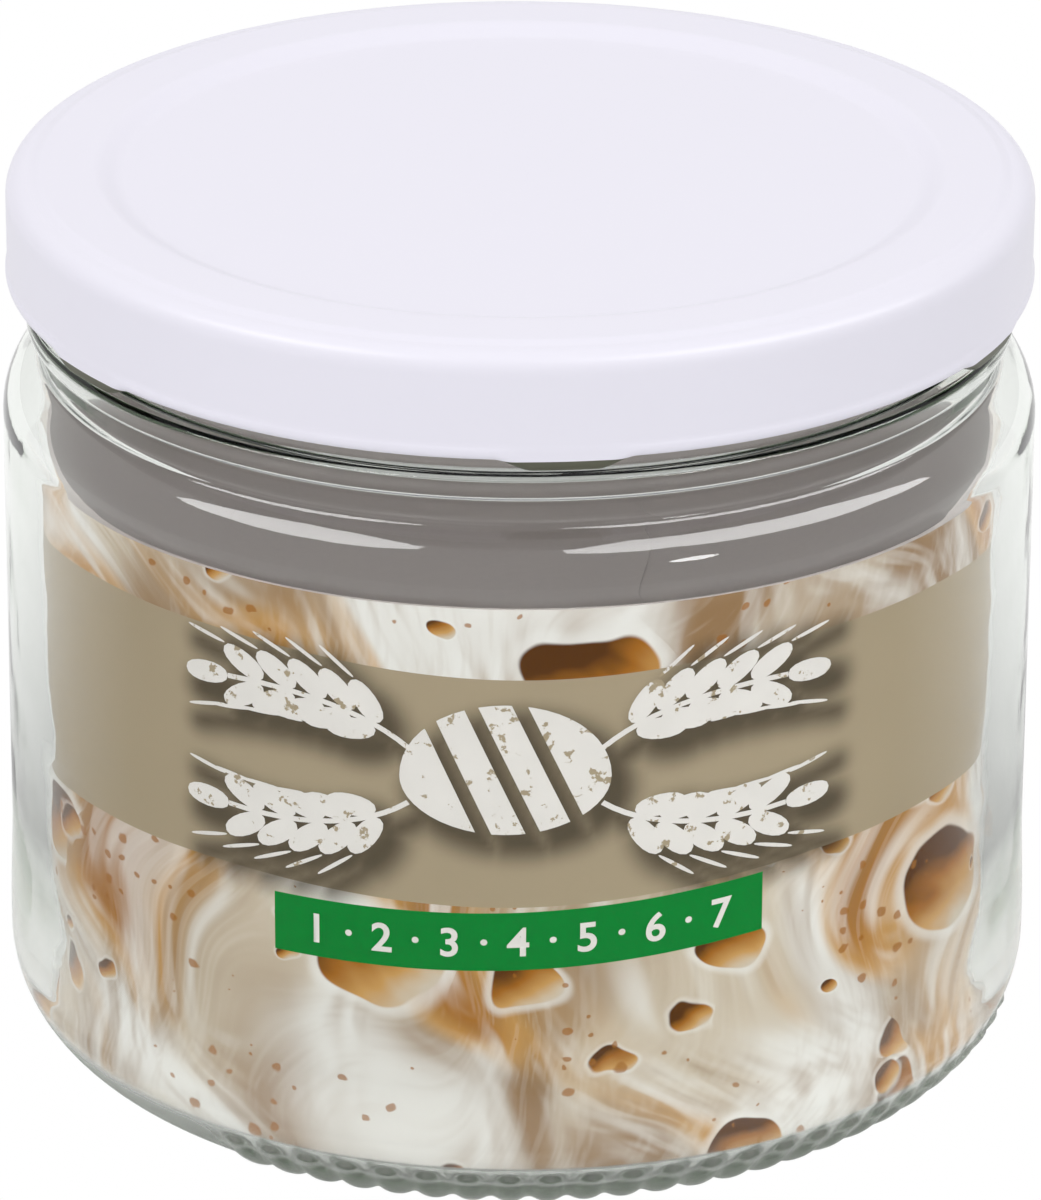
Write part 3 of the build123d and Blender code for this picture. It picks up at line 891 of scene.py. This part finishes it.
class STARTERJAR_OT_glass(Operator):
    """Build the pressed glass body"""

    bl_idname = "starterjar.glass"
    bl_label = "Glass jar"

    def execute(self, context):
        s = context.scene.starterjar_glass
        crown = s.body_radius + s.heel_bulge
        heel_centre = crown - s.heel_round
        crown_height = s.heel_round + s.heel_crown_rise
        inner = s.body_radius - s.wall
        neck = s.bore_radius + s.neck_wall
        bead = neck + s.bead_reach
        mouth = s.bore_radius + s.finish_wall
        shoulder_top = s.shoulder_corner_height + s.shoulder_rise
        bead_bottom = shoulder_top + s.neck_height
        bead_top = bead_bottom + s.bead_height
        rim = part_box("glass_jar")[1].z
        slope = math.atan2(s.shoulder_rise, s.body_radius - neck)
        slope_radius = s.body_radius - s.wall * math.sin(slope)
        slope_height = s.shoulder_corner_height - s.wall * math.cos(slope)
        inner_corner = slope_height + (slope_radius - inner) * math.tan(slope)
        bore_corner = slope_height + (slope_radius - s.bore_radius) * math.tan(slope)
        fade = [
            (s.body_radius + s.heel_bulge * smooth(1, 0, t), crown_height + s.heel_fade * t)
            for t in (0, 0.12, 0.25, 0.38, 0.5, 0.62, 0.75, 0.88, 1.0)
        ]
        corners = [
            (0, s.push_up),
            (s.push_up_radius, s.push_up, s.push_up_round),
            (s.bearing_radius, 0, s.bearing_round),
            (crown, 0, s.heel_round),
            *fade,
            (s.body_radius, s.shoulder_corner_height, s.shoulder_round),
            (neck, shoulder_top, s.neck_round),
            (neck, bead_bottom, s.bead_root_round),
            (bead, bead_bottom, s.bead_round),
            (bead, bead_top, s.bead_round),
            (mouth, bead_top, s.bead_root_round),
            (mouth, rim, s.rim_outer_round),
            (s.bore_radius, rim, s.rim_inner_round),
            (s.bore_radius, bore_corner, s.bore_round),
            (inner, inner_corner, s.inner_shoulder_round),
            (inner, s.floor_height, s.floor_round),
            (0, s.floor_height),
        ]
        # The long runs of the mouth, of the wall and of the inside are cut into even steps
        mouth_run = len(fade) + 9
        wall_run = len(fade) + 3
        inside_run = len(corners) - 3
        outline = rounded_outline(corners, run_steps={mouth_run: 42, wall_run: 20, inside_run: 24})
        steps_per_rib = 12
        radius, height, angles = spun(outline, steps_per_rib * s.ribs_per_turn)

        # Grip ribs: a bar that follows the heel, with rounded ends
        out, down = radius - heel_centre, s.heel_round - height
        around = np.arctan2(down, out)
        on_heel = (np.abs(np.hypot(out, down) - s.heel_round) < 2 * NEAR) & (height < s.heel_round)
        ends = smooth(s.rib_top, s.rib_top + s.rib_end, around)
        ends *= smooth(s.rib_bottom, s.rib_bottom - s.rib_end, around)
        pitch = 2 * math.pi / s.ribs_per_turn
        foot = s.rib_round - s.rib_rise
        rise = np.zeros_like(radius)
        for run in (0, math.pi):
            for rib in range(s.ribs_per_run):
                swing = turn_between(angles, s.rib_first + run + rib * pitch)
                near = np.abs(swing) < pitch
                side = radius[:, near] * np.sin(swing[near])
                bar = np.sqrt(np.maximum(s.rib_round**2 - side**2, 0)) - foot
                soft = (bar + np.sqrt(bar**2 + s.rib_blend**2)) / 2
                rise[:, near] = np.maximum(rise[:, near], np.where(bar > -s.rib_skirt, soft, 0))
        rise *= ends * on_heel
        radius += rise * np.cos(around)
        height -= rise * np.sin(around)

        # Threads: slanted swellings round the mouth
        level_run = (height > bead_top + s.bead_root_round) & (height < rim - s.rim_outer_round)
        on_mouth = level_run & (np.abs(radius - mouth) < NEAR)
        for thread in range(s.thread_count):
            swing = turn_between(angles, s.first_thread + thread * 2 * math.pi / s.thread_count)
            within = np.clip(swing, -s.thread_arc / 2, s.thread_arc / 2)
            middle = s.thread_level + mouth * np.sin(within) * math.tan(s.thread_slope)
            away = np.hypot(mouth * (swing - within)[None, :], height - middle[None, :])
            swell = s.thread_reach * (0.5 + 0.5 * np.cos(math.pi * np.clip(away / s.thread_width, 0, 1)))
            radius += np.where(on_mouth, swell, 0)

        # Slow waves left by pressing, which swell the glass on the inside only
        inside = np.zeros(len(outline), bool)
        inside[np.argmax(outline[:, 1]) :] = True
        wave = np.zeros_like(radius)
        draw = np.random.default_rng(7)
        waves, steepest = 9, 0.96 / MM
        for _ in range(waves):
            turns, climb = draw.integers(3, 17), draw.uniform(-1, 1) * steepest
            wave += np.sin(turns * angles[None, :] + climb * height + draw.uniform(0, 6.28))
        wave *= s.ripple / math.sqrt(waves)
        settled = smooth(s.floor_height, s.floor_height + s.ripple_foot, height)
        settled *= smooth(rim - s.ripple_clear, rim - s.ripple_head, height)
        radius -= np.where(inside[:, None], np.abs(wave) * settled, 0)

        jar = round_mesh("jar_glass", radius, height, angles)
        rib_side = s.rib_first + (s.ribs_per_run - 1) / 2 * pitch
        tint = context.scene.starterjar_finish.glass_tint
        jar.data.materials.append(soda_lime_glass(tint, rib_side))
        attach(jar, "jar")
        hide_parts("glass_jar")
        return {"FINISHED"}


class STARTERJAR_OT_sleeve(Operator):
    """Roll up the card sleeve and print it"""

    bl_idname = "starterjar.sleeve"
    bl_label = "Printed card sleeve"

    def execute(self, context):
        s = context.scene.starterjar_sleeve
        colours = context.scene.starterjar_finish
        low, high, left, right = print_span(s)
        # The mesh is finer round the emblem, where it carries the edge of the printed shadow
        half_wide, half_tall = 32 * MM, 16 * MM
        fine = np.arange(-half_wide, half_wide, 0.5 * MM)
        columns = np.unique(np.concatenate((np.linspace(left, right, 300), fine, [0.0])))
        rows = np.linspace(low, high, 100)
        along, level = np.meshgrid(columns, rows)
        outer = on_sleeve(s, along, level, 0.0).reshape(-1, 3)
        # The end that lies inside is skived thin
        skived = s.card * (s.skive_share + (1 - s.skive_share) * smooth(0, s.skive, along - left))
        inner = on_sleeve(s, along, level, -skived).reshape(-1, 3)
        count = len(outer)
        across, tall = len(columns), len(rows)
        index = np.arange(count).reshape(tall, across)
        a, b, c, d = index[:-1, :-1], index[:-1, 1:], index[1:, 1:], index[1:, :-1]
        face = np.stack((a, b, c, d), axis=-1).reshape(-1, 4)
        faces = face.tolist() + (face[:, ::-1] + count).tolist()
        loop = np.concatenate((index[0, :], index[1:, -1], index[-1, -2::-1], index[-2:0:-1, 0]))
        ahead = np.roll(loop, -1)
        faces += np.stack((ahead, loop, loop + count, ahead + count), axis=-1).tolist()
        sleeve = finished_mesh("card_sleeve", np.vstack((outer, inner)), [tuple(f) for f in faces])
        mesh = sleeve.data
        mesh.materials.append(printed_card(colours, s))
        mesh.materials.append(bare_card(colours.card))
        which = np.ones(len(mesh.polygons), np.int32)
        which[: len(face)] = 0
        mesh.polygons.foreach_set("material_index", which)

        layer = mesh.uv_layers.new(name="print")
        spread_along = (along.ravel() - left) / (right - left)
        spread_up = (level.ravel() - low) / (high - low)
        spread = np.tile(np.stack((spread_along, spread_up), axis=-1), (2, 1))
        corner = np.zeros(len(mesh.loops), np.int32)
        mesh.loops.foreach_get("vertex_index", corner)
        layer.data.foreach_set("uv", spread[corner].astype(np.float32).ravel())

        shapes = emblem_shapes()
        drawn = level - bowed(s, along, 0.0, 0.5, s.emblem_slope)
        rightward = along.ravel() - s.emblem_shift
        upward = drawn.ravel() - s.emblem_level
        near = (np.abs(rightward) < half_wide) & (np.abs(upward) < half_tall)
        cast = np.stack((rightward - s.shadow_right, upward + s.shadow_down), axis=-1)
        away = np.full(count, FAR)
        away[near] = distance_to_shapes(cast[near] / MM, shapes)
        shadow = smooth(s.shadow_out / MM, -s.shadow_in / MM, away)
        print_shadow = mesh.attributes.new("emblem_shadow", "FLOAT", "POINT")
        print_shadow.data.foreach_set("value", np.concatenate((shadow, np.zeros(count))).astype(np.float32))
        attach(sleeve, "jar")
        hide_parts("insert_sleeve")

        emblem = printed_shapes("printed_emblem", shapes, s, s.emblem_shift, s.emblem_level)
        emblem.data.materials.append(worn_ink(colours.ink, colours.band, 0.6))
        self.numerals(context, s, colours)
        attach(emblem, "jar")
        return {"FINISHED"}

    def numerals(self, context, s, colours):
        """Numbers on the tab, spread evenly along it."""
        plan = bmesh.new()
        marks = s.numerals.split()
        step = (s.tab_right - s.tab_left) / (len(marks) + s.numeral_margin)
        middle = (s.tab_left + s.tab_right) / 2
        turns = np.linspace(0, 6.283, 13)[:-1]
        dot = s.dot_radius * np.stack((np.cos(turns), np.sin(turns)), 1)
        for order, mark in enumerate(marks):
            text = bpy.data.curves.new("numeral", "FONT")
            text.body = mark
            text.align_x = "CENTER"
            text.offset = s.numeral_weight
            holder = bpy.data.objects.new("numeral", text)
            context.scene.collection.objects.link(holder)
            context.view_layer.update()
            flat = bpy.data.meshes.new_from_object(holder.evaluated_get(context.evaluated_depsgraph_get()))
            tall = max(v.co.y for v in flat.vertices)
            scale = s.numeral_height / tall
            centre = middle + (order - (len(marks) - 1) / 2) * step
            base = (s.tab_bottom + s.tab_top - s.numeral_height) / 2
            flat.transform(Matrix.Translation((centre, base, 0)) @ Matrix.Scale(scale, 4))
            plan.from_mesh(flat)
            bpy.data.objects.remove(holder)
            bpy.data.curves.remove(text)
            bpy.data.meshes.remove(flat)
            if order:
                spot = dot + (centre - step / 2, base + s.numeral_height / 2)
                plan.faces.new([plan.verts.new((x, y, 0)) for x, y in spot])
        numbers = bent_print("printed_numerals", plan, s, s.tab_slope)
        numbers.data.materials.append(worn_ink(colours.ink, colours.tab, 0.8))
        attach(numbers, "jar")


class STARTERJAR_OT_lid(Operator):
    """Press the lid shell with its curl and lugs"""

    bl_idname = "starterjar.lid"
    bl_label = "Lid shell"

    def execute(self, context):
        s = context.scene.starterjar_lid
        inside = s.skirt_radius - s.sheet
        outside_meet = math.acos((s.skirt_radius - s.curl_centre) / s.curl_radius)
        inside_meet = math.acos((inside - s.curl_centre) / s.curl_radius)
        underside = [
            (0, s.panel_level - s.sheet),
            (s.panel_radius + s.sheet, s.panel_level - s.sheet, s.panel_round + s.sheet),
            (s.panel_radius + s.sheet, s.ridge_level - s.sheet, s.panel_round - s.sheet),
            (s.ridge_radius - s.sheet, s.ridge_level - s.sheet),
            (s.ridge_radius - s.sheet, s.ledge_level - s.sheet),
            (inside, s.ledge_level - s.sheet, s.shoulder_round - s.sheet),
            (inside, s.curl_level + s.curl_radius * math.sin(inside_meet)),
        ]
        # The steps of the top are pressed soft: up from the ledge to the ridge, and down to the panel
        shares = np.linspace(0, 1, 13)
        ledge_end = s.skirt_radius - s.shoulder_round
        step_start = s.panel_radius + s.panel_soft_out
        step_width = s.panel_soft_out + s.panel_soft_in
        run_up, run_down = (
            [(start - width * t, low + (high - low) * smooth(0, 1, t)) for t in shares]
            for start, width, low, high in (
                (ledge_end, s.ledge_run, s.ledge_level, s.ridge_level),
                (step_start, step_width, s.ridge_level, s.panel_level),
            )
        )
        outside = [
            (s.skirt_radius, s.curl_level + s.curl_radius * math.sin(outside_meet)),
            (s.skirt_radius, s.ledge_level, s.shoulder_round),
            *run_up,
            *run_down,
            (0, s.panel_level),
        ]
        first = rounded_outline(underside)
        last = rounded_outline(outside)
        steps = 34
        begin, end = inside_meet, outside_meet + 2 * math.pi
        sweep = np.linspace(begin, end, steps + 1)[1:-1]
        across, tall = np.cos(sweep), np.sin(sweep)
        curl = np.stack((s.curl_centre + s.curl_radius * across, s.curl_level + s.curl_radius * tall), axis=1)
        outline = np.vstack((first, curl, last))
        radius, height, angles = spun(outline, 720)

        # Lugs: the curl pressed flat, in and down
        rows = slice(len(first), len(first) + len(curl))
        lug_top = s.curl_level + s.lug_rise
        # A rounded box: the smaller the power, the flatter its sides
        flatness = 0.55
        tongue = (
            (radius, s.lug_reach, s.skirt_radius, np.sign(across) * np.abs(across) ** flatness),
            (height, s.lug_drop, lug_top, np.sign(tall) * np.abs(tall) ** flatness),
        )
        easing = smooth(0, 0.5, np.minimum(sweep - begin, end - sweep))
        press = np.zeros(len(angles))
        for lug in range(s.lug_count):
            swing = np.abs(turn_between(angles, s.lug_first + lug * 2 * math.pi / s.lug_count))
            press = np.maximum(press, smooth(s.lug_fade, s.lug_flat, swing))
        share = easing[:, None] * press[None, :]
        for values, low, high, shape in tongue:
            pressed = (low + high) / 2 + (high - low) / 2 * shape
            values[rows] += share * (pressed[:, None] - values[rows])

        lid = round_mesh("lid_pressed", radius, height, angles)
        finish = context.scene.starterjar_finish
        lid.data.materials.append(lacquered_tinplate(finish.lacquer))
        # The lugs get the dark coat, which paints the shade they lie in under the curl
        lid.data.materials.append(lug_coat_painted_shade(finish.lug))
        self.paint_lug_shade_below(lid.data, s.curl_level - s.curl_radius - NEAR)
        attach(lid, "lid")
        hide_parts("lid_shell")
        return {"FINISHED"}

    def paint_lug_shade_below(self, mesh, level):
        """Give the second material, the dark coat that paints the lugs' shade, to what lies under a level,
        where only the lugs reach, cut clean there.
        """
        shape = bmesh.new()
        shape.from_mesh(mesh)
        everything = shape.verts[:] + shape.edges[:] + shape.faces[:]
        bmesh.ops.bisect_plane(shape, geom=everything, plane_co=(0, 0, level), plane_no=(0, 0, 1), dist=1e-7)
        for face in shape.faces:
            face.material_index = int(face.calc_center_median().z < level)
        shape.to_mesh(mesh)
        shape.free()


class STARTERJAR_OT_seal(Operator):
    """Mould the sealing ring under the lid's ridge"""

    bl_idname = "starterjar.seal"
    bl_label = "Sealing ring"

    def execute(self, context):
        s = context.scene.starterjar_lid
        glass = context.scene.starterjar_glass
        rim_middle = glass.bore_radius + glass.finish_wall / 2
        corners = [
            (s.seal_inner, s.seal_top, s.seal_round),
            (s.seal_inner, s.seal_bottom, s.seal_round),
            (rim_middle - s.groove_half, s.seal_bottom, s.seal_round),
            (rim_middle, s.seal_bottom + s.seal_groove, s.groove_round),
            (rim_middle + s.groove_half, s.seal_bottom, s.seal_round),
            (s.seal_outer, s.seal_bottom, s.seal_round),
            (s.seal_outer, s.seal_top, s.seal_round),
        ]
        start = ((s.seal_inner + s.seal_outer) / 2, s.seal_top)
        outline = rounded_outline([start, *corners, start], quarter_steps=4)[:-1]
        radius, height, angles = spun(outline, 360)
        rings, segments = radius.shape
        points = np.stack((radius * np.cos(angles), radius * np.sin(angles), height), axis=-1).reshape(-1, 3)
        index = np.arange(rings * segments).reshape(rings, segments)
        across, ahead = np.roll(index, -1, axis=1), np.roll(index, -1, axis=0)
        faces = np.stack((index, across, np.roll(ahead, -1, axis=1), ahead), axis=-1).reshape(-1, 4).tolist()
        ring = finished_mesh("seal_ring", points, [tuple(f) for f in faces])
        ring.data.materials.append(moulded_compound(context.scene.starterjar_finish.compound))
        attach(ring, "lid_seal")
        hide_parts("sealing_ring")
        return {"FINISHED"}


# Reflectors: name, brightness, half height in degrees, and a path of bearings and heights in degrees
REFLECTORS = (
    ("reflector_right", 9.0, 10.0, ((13, 56), (41, 57), (68, 50), (93, 40), (108, 28))),
    ("reflector_left", 9.0, 10.0, ((-95, 42), (-76, 50), (-57, 53), (-29, 55))),
    ("reflector_glint", 16.0, 2.5, ((34, 29), (46, 29))),
)


class STARTERJAR_OT_stage(Operator):
    """Lay the floor and set the lamps, the room light and the camera"""

    bl_idname = "starterjar.stage"
    bl_label = "Stage"

    def execute(self, context):
        s = context.scene.starterjar_stage
        scene = context.scene
        steps = np.linspace(0, 2 * math.pi, 97)[:-1]
        ring = [(s.floor_radius * math.cos(a), s.floor_radius * math.sin(a), 0.0) for a in steps]
        floor = finished_mesh("floor_paper", ring, [tuple(range(len(ring)))])
        floor.data.materials.append(self.paper(s))
        self.room(scene, s)
        over, before = (0, -0.05, s.top_height), (-0.35, -1.3, 0.75)
        warm, cool = (1.0, 0.99, 0.95), (0.97, 0.97, 1.0)
        self.lamp(s, "lamp_top", over, s.top_width, s.top_level, warm)
        self.lamp(s, "lamp_fill", before, s.fill_width, s.fill_level, cool)
        for name, level, half, path in REFLECTORS:
            self.reflector(s, name, level, half, path)
        camera = bpy.data.cameras.new("photo_camera")
        camera.lens = s.focal
        camera.sensor_width = s.sensor
        camera.clip_start, camera.clip_end = 0.01, 50.0
        eye = bpy.data.objects.new("photo_camera", camera)
        scene.collection.objects.link(eye)
        stand = Matrix.Translation((0, -s.eye_distance, s.eye_height))
        look = Matrix.Rotation(-s.yaw, 4, "Z") @ Matrix.Rotation(math.radians(90) - s.pitch, 4, "X")
        eye.matrix_world = stand @ look @ Matrix.Rotation(s.roll, 4, "Z")
        scene.camera = eye
        scene.view_settings.view_transform = "Standard"
        # Thick glass guides light round the bead and the heel; it goes black where a path is cut short
        scene.cycles.glossy_bounces = 11
        return {"FINISHED"}

    def paper(self, s):
        """Coated paper, rolled: plain white where seen, dim round the foot and, mirrored, black in front."""
        material, tree = new_material("white_paper_rolled")
        path = add_node(tree, LIGHT_PATH).node.outputs
        place = add_node(tree, "ShaderNodeNewGeometry")
        away = add_node(tree, VECTORS, {0: place}, out=1, operation="LENGTH")
        forward = add_node(tree, "ShaderNodeSeparateXYZ", {0: place}, out=1)
        # The glass of the heel looks into a ring of shade round the foot
        limits = {"From Min": s.shade_full, "From Max": s.shade_gone}
        lit = add_node(tree, RANGE, {"Value": away, **limits}, interpolation_type="SMOOTHSTEP")
        limits = {"From Min": s.under_dark, "From Max": s.under_lit, "To Max": s.under_level}
        under = add_node(tree, RANGE, {"Value": away, **limits})
        lit = add_node(tree, MATHS, {0: lit, 1: under}, operation="MAXIMUM")
        # A black card in front keeps the paper's mirror image off the print, and greys the glass's edges
        bounced = add_node(tree, MATHS, {0: path["Glossy Depth"], 1: 0.5}, operation="GREATER_THAN")
        straight = add_node(tree, MATHS, {0: path["Diffuse Depth"], 1: 0.5}, operation="LESS_THAN")
        card = add_node(tree, MATHS, {0: bounced, 1: straight}, operation="MULTIPLY")
        for value, none, full in (
            (forward, s.card_behind, -s.card_before),
            (away, s.card_begin, s.card_full),
            (away, s.card_gone, s.card_fade),
        ):
            share = add_node(tree, RANGE, {"Value": value, "From Min": none, "From Max": full})
            card = add_node(tree, MATHS, {0: card, 1: share}, operation="MULTIPLY")
        # Light that comes through the glass sees the card a little lighter
        sent = path["Is Transmission Ray"]
        share = add_node(tree, MATHS, {0: sent, 1: -0.12, 2: 1.0}, operation="MULTIPLY_ADD")
        card = add_node(tree, MATHS, {0: card, 1: share}, operation="MULTIPLY")
        clear = add_node(tree, MATHS, {0: 1.0, 1: card}, operation="SUBTRACT")
        seen = add_node(
            tree, MATHS, {0: path["Is Glossy Ray"], 1: path["Is Transmission Ray"]}, operation="MAXIMUM"
        )
        seen = add_node(tree, MATHS, {0: seen, 1: lit}, operation="MULTIPLY")
        seen = add_node(tree, MATHS, {0: seen, 1: path["Is Camera Ray"]}, operation="MAXIMUM")
        seen = add_node(tree, MATHS, {0: seen, 1: clear}, operation="MULTIPLY")
        shade = add_node(tree, MIX, {0: card, 6: linear("#EBEBEB"), 7: grey(0.01)}, out=2, data_type="RGBA")
        face = add_node(tree, "ShaderNodeBsdfDiffuse", {"Color": shade})
        inside = self.lights_inside(tree, path)
        level = add_node(tree, MATHS, {0: inside, 1: s.inside_gain, 2: 1.0}, operation="MULTIPLY_ADD")
        glow = add_node(tree, "ShaderNodeEmission", {"Color": tuple(s.backdrop), "Strength": level})
        mixed = add_node(tree, MIX_SHADERS, {0: seen, 1: face, 2: glow})
        add_node(tree, OUTPUT, {"Surface": mixed})
        return material

    def lights_inside(self, tree, path):
        """Output that is 1 for light that reaches what stands behind the glass."""
        matt = add_node(tree, MATHS, {0: path["Diffuse Depth"], 1: 0.5}, operation="GREATER_THAN")
        return add_node(tree, MATHS, {0: matt, 1: path["Is Transmission Ray"]}, operation="MULTIPLY")

    def room(self, scene, s):
        """Even room light, white where the camera sees it, straight or through the glass."""
        world = bpy.data.worlds.new("room")
        scene.world = world
        world.use_nodes = True
        tree = world.node_tree
        tree.nodes.clear()
        path = add_node(tree, LIGHT_PATH).node.outputs
        seen = add_node(
            tree, MATHS, {0: path["Is Camera Ray"], 1: path["Is Transmission Ray"]}, operation="MAXIMUM"
        )
        drop = s.mirror_level - s.sky_level
        mirrored = add_node(
            tree, MATHS, {0: path["Is Glossy Ray"], 1: drop, 2: s.sky_level}, operation="MULTIPLY_ADD"
        )
        level = add_node(tree, MATHS, {0: seen, 1: mirrored}, operation="MAXIMUM")
        inside = self.lights_inside(tree, path)
        level = add_node(tree, MATHS, {0: inside, 1: s.inside_gain, 2: level}, operation="MULTIPLY_ADD")
        back = add_node(tree, "ShaderNodeBackground", {"Color": tuple(s.backdrop), "Strength": level})
        add_node(tree, "ShaderNodeOutputWorld", {"Surface": back})
        world.cycles.sampling_method = "NONE"

    def lamp(self, s, name, place, width, level, tint):
        """A square soft lamp that points at the jar, its level as bright as a white surface."""
        light = bpy.data.lights.new(name, "AREA")
        light.shape = "SQUARE"
        light.size = width
        light.energy = level * math.pi * width * width
        light.color = tint
        holder = bpy.data.objects.new(name, light)
        bpy.context.scene.collection.objects.link(holder)
        holder.location = place
        aim = Vector((0, 0, s.aim_level)) - Vector(place)
        holder.rotation_mode = "QUATERNION"
        holder.rotation_quaternion = aim.to_track_quat("-Z", "Y")
        holder.visible_camera = holder.visible_transmission = holder.visible_glossy = False

    def reflector(self, s, name, level, half, path):
        """A bright curved card that only gloss mirrors, along a path of bearings and heights in degrees."""
        steps = 32
        share = np.linspace(0, 1, steps + 1)
        path = np.radians(path)
        along = np.linspace(0, 1, len(path))
        bearing, middle = np.interp(share, along, path[:, 0]), np.interp(share, along, path[:, 1])
        half = math.radians(half) * np.sqrt(np.sin(math.pi * np.clip(share, 0.02, 0.98)))
        rows = [
            np.stack((np.cos(e) * np.sin(bearing), -np.cos(e) * np.cos(bearing), np.sin(e)), 1)
            for e in (middle - half, middle + half)
        ]
        faces = [(k, k + 1, k + steps + 2, k + steps + 1) for k in range(steps)]
        board = finished_mesh(name, np.vstack(rows) * s.reflector_distance, faces)
        material, tree = new_material("diffusion_cloth_lit")
        glow = add_node(tree, "ShaderNodeEmission", {"Color": grey(1.0), "Strength": level})
        add_node(tree, OUTPUT, {"Surface": glow})
        board.data.materials.append(material)
        board.visible_camera = board.visible_diffuse = False
        board.visible_transmission = board.visible_shadow = False


class STARTERJAR_PT_panel(Panel):
    """Steps that build the starter jar"""

    bl_label = "Starter Jar"
    bl_idname = "STARTERJAR_PT_panel"
    bl_space_type = "VIEW_3D"
    bl_region_type = "UI"
    bl_category = "Starter Jar"

    def draw(self, context):
        for step in OPERATORS:
            self.layout.operator(step.bl_idname)
        for group in GROUPS:
            values = getattr(context.scene, group)
            box = self.layout.box()
            box.label(text=GROUPS[group].__doc__)
            for key in GROUPS[group].__annotations__:
                box.prop(values, key)


OPERATORS = (
    STARTERJAR_OT_stage,
    STARTERJAR_OT_glass,
    STARTERJAR_OT_sleeve,
    STARTERJAR_OT_lid,
    STARTERJAR_OT_seal,
)
GROUPS = {
    "starterjar_glass": GlassSizes,
    "starterjar_lid": LidSizes,
    "starterjar_sleeve": SleeveSizes,
    "starterjar_finish": FinishColours,
    "starterjar_stage": StageSizes,
}


def register():
    for group, kind in GROUPS.items():
        bpy.utils.register_class(kind)
        setattr(bpy.types.Scene, group, PointerProperty(type=kind))
    for kind in (*OPERATORS, STARTERJAR_PT_panel):
        bpy.utils.register_class(kind)


def unregister():
    for kind in (STARTERJAR_PT_panel, *reversed(OPERATORS)):
        bpy.utils.unregister_class(kind)
    for group, kind in GROUPS.items():
        delattr(bpy.types.Scene, group)
        bpy.utils.unregister_class(kind)


def main():
    """Register the classes and build the piece in order."""
    register()
    bpy.ops.starterjar.stage()
    bpy.ops.starterjar.glass()
    bpy.ops.starterjar.sleeve()
    bpy.ops.starterjar.lid()
    bpy.ops.starterjar.seal()


if __name__ == "__main__":
    main()
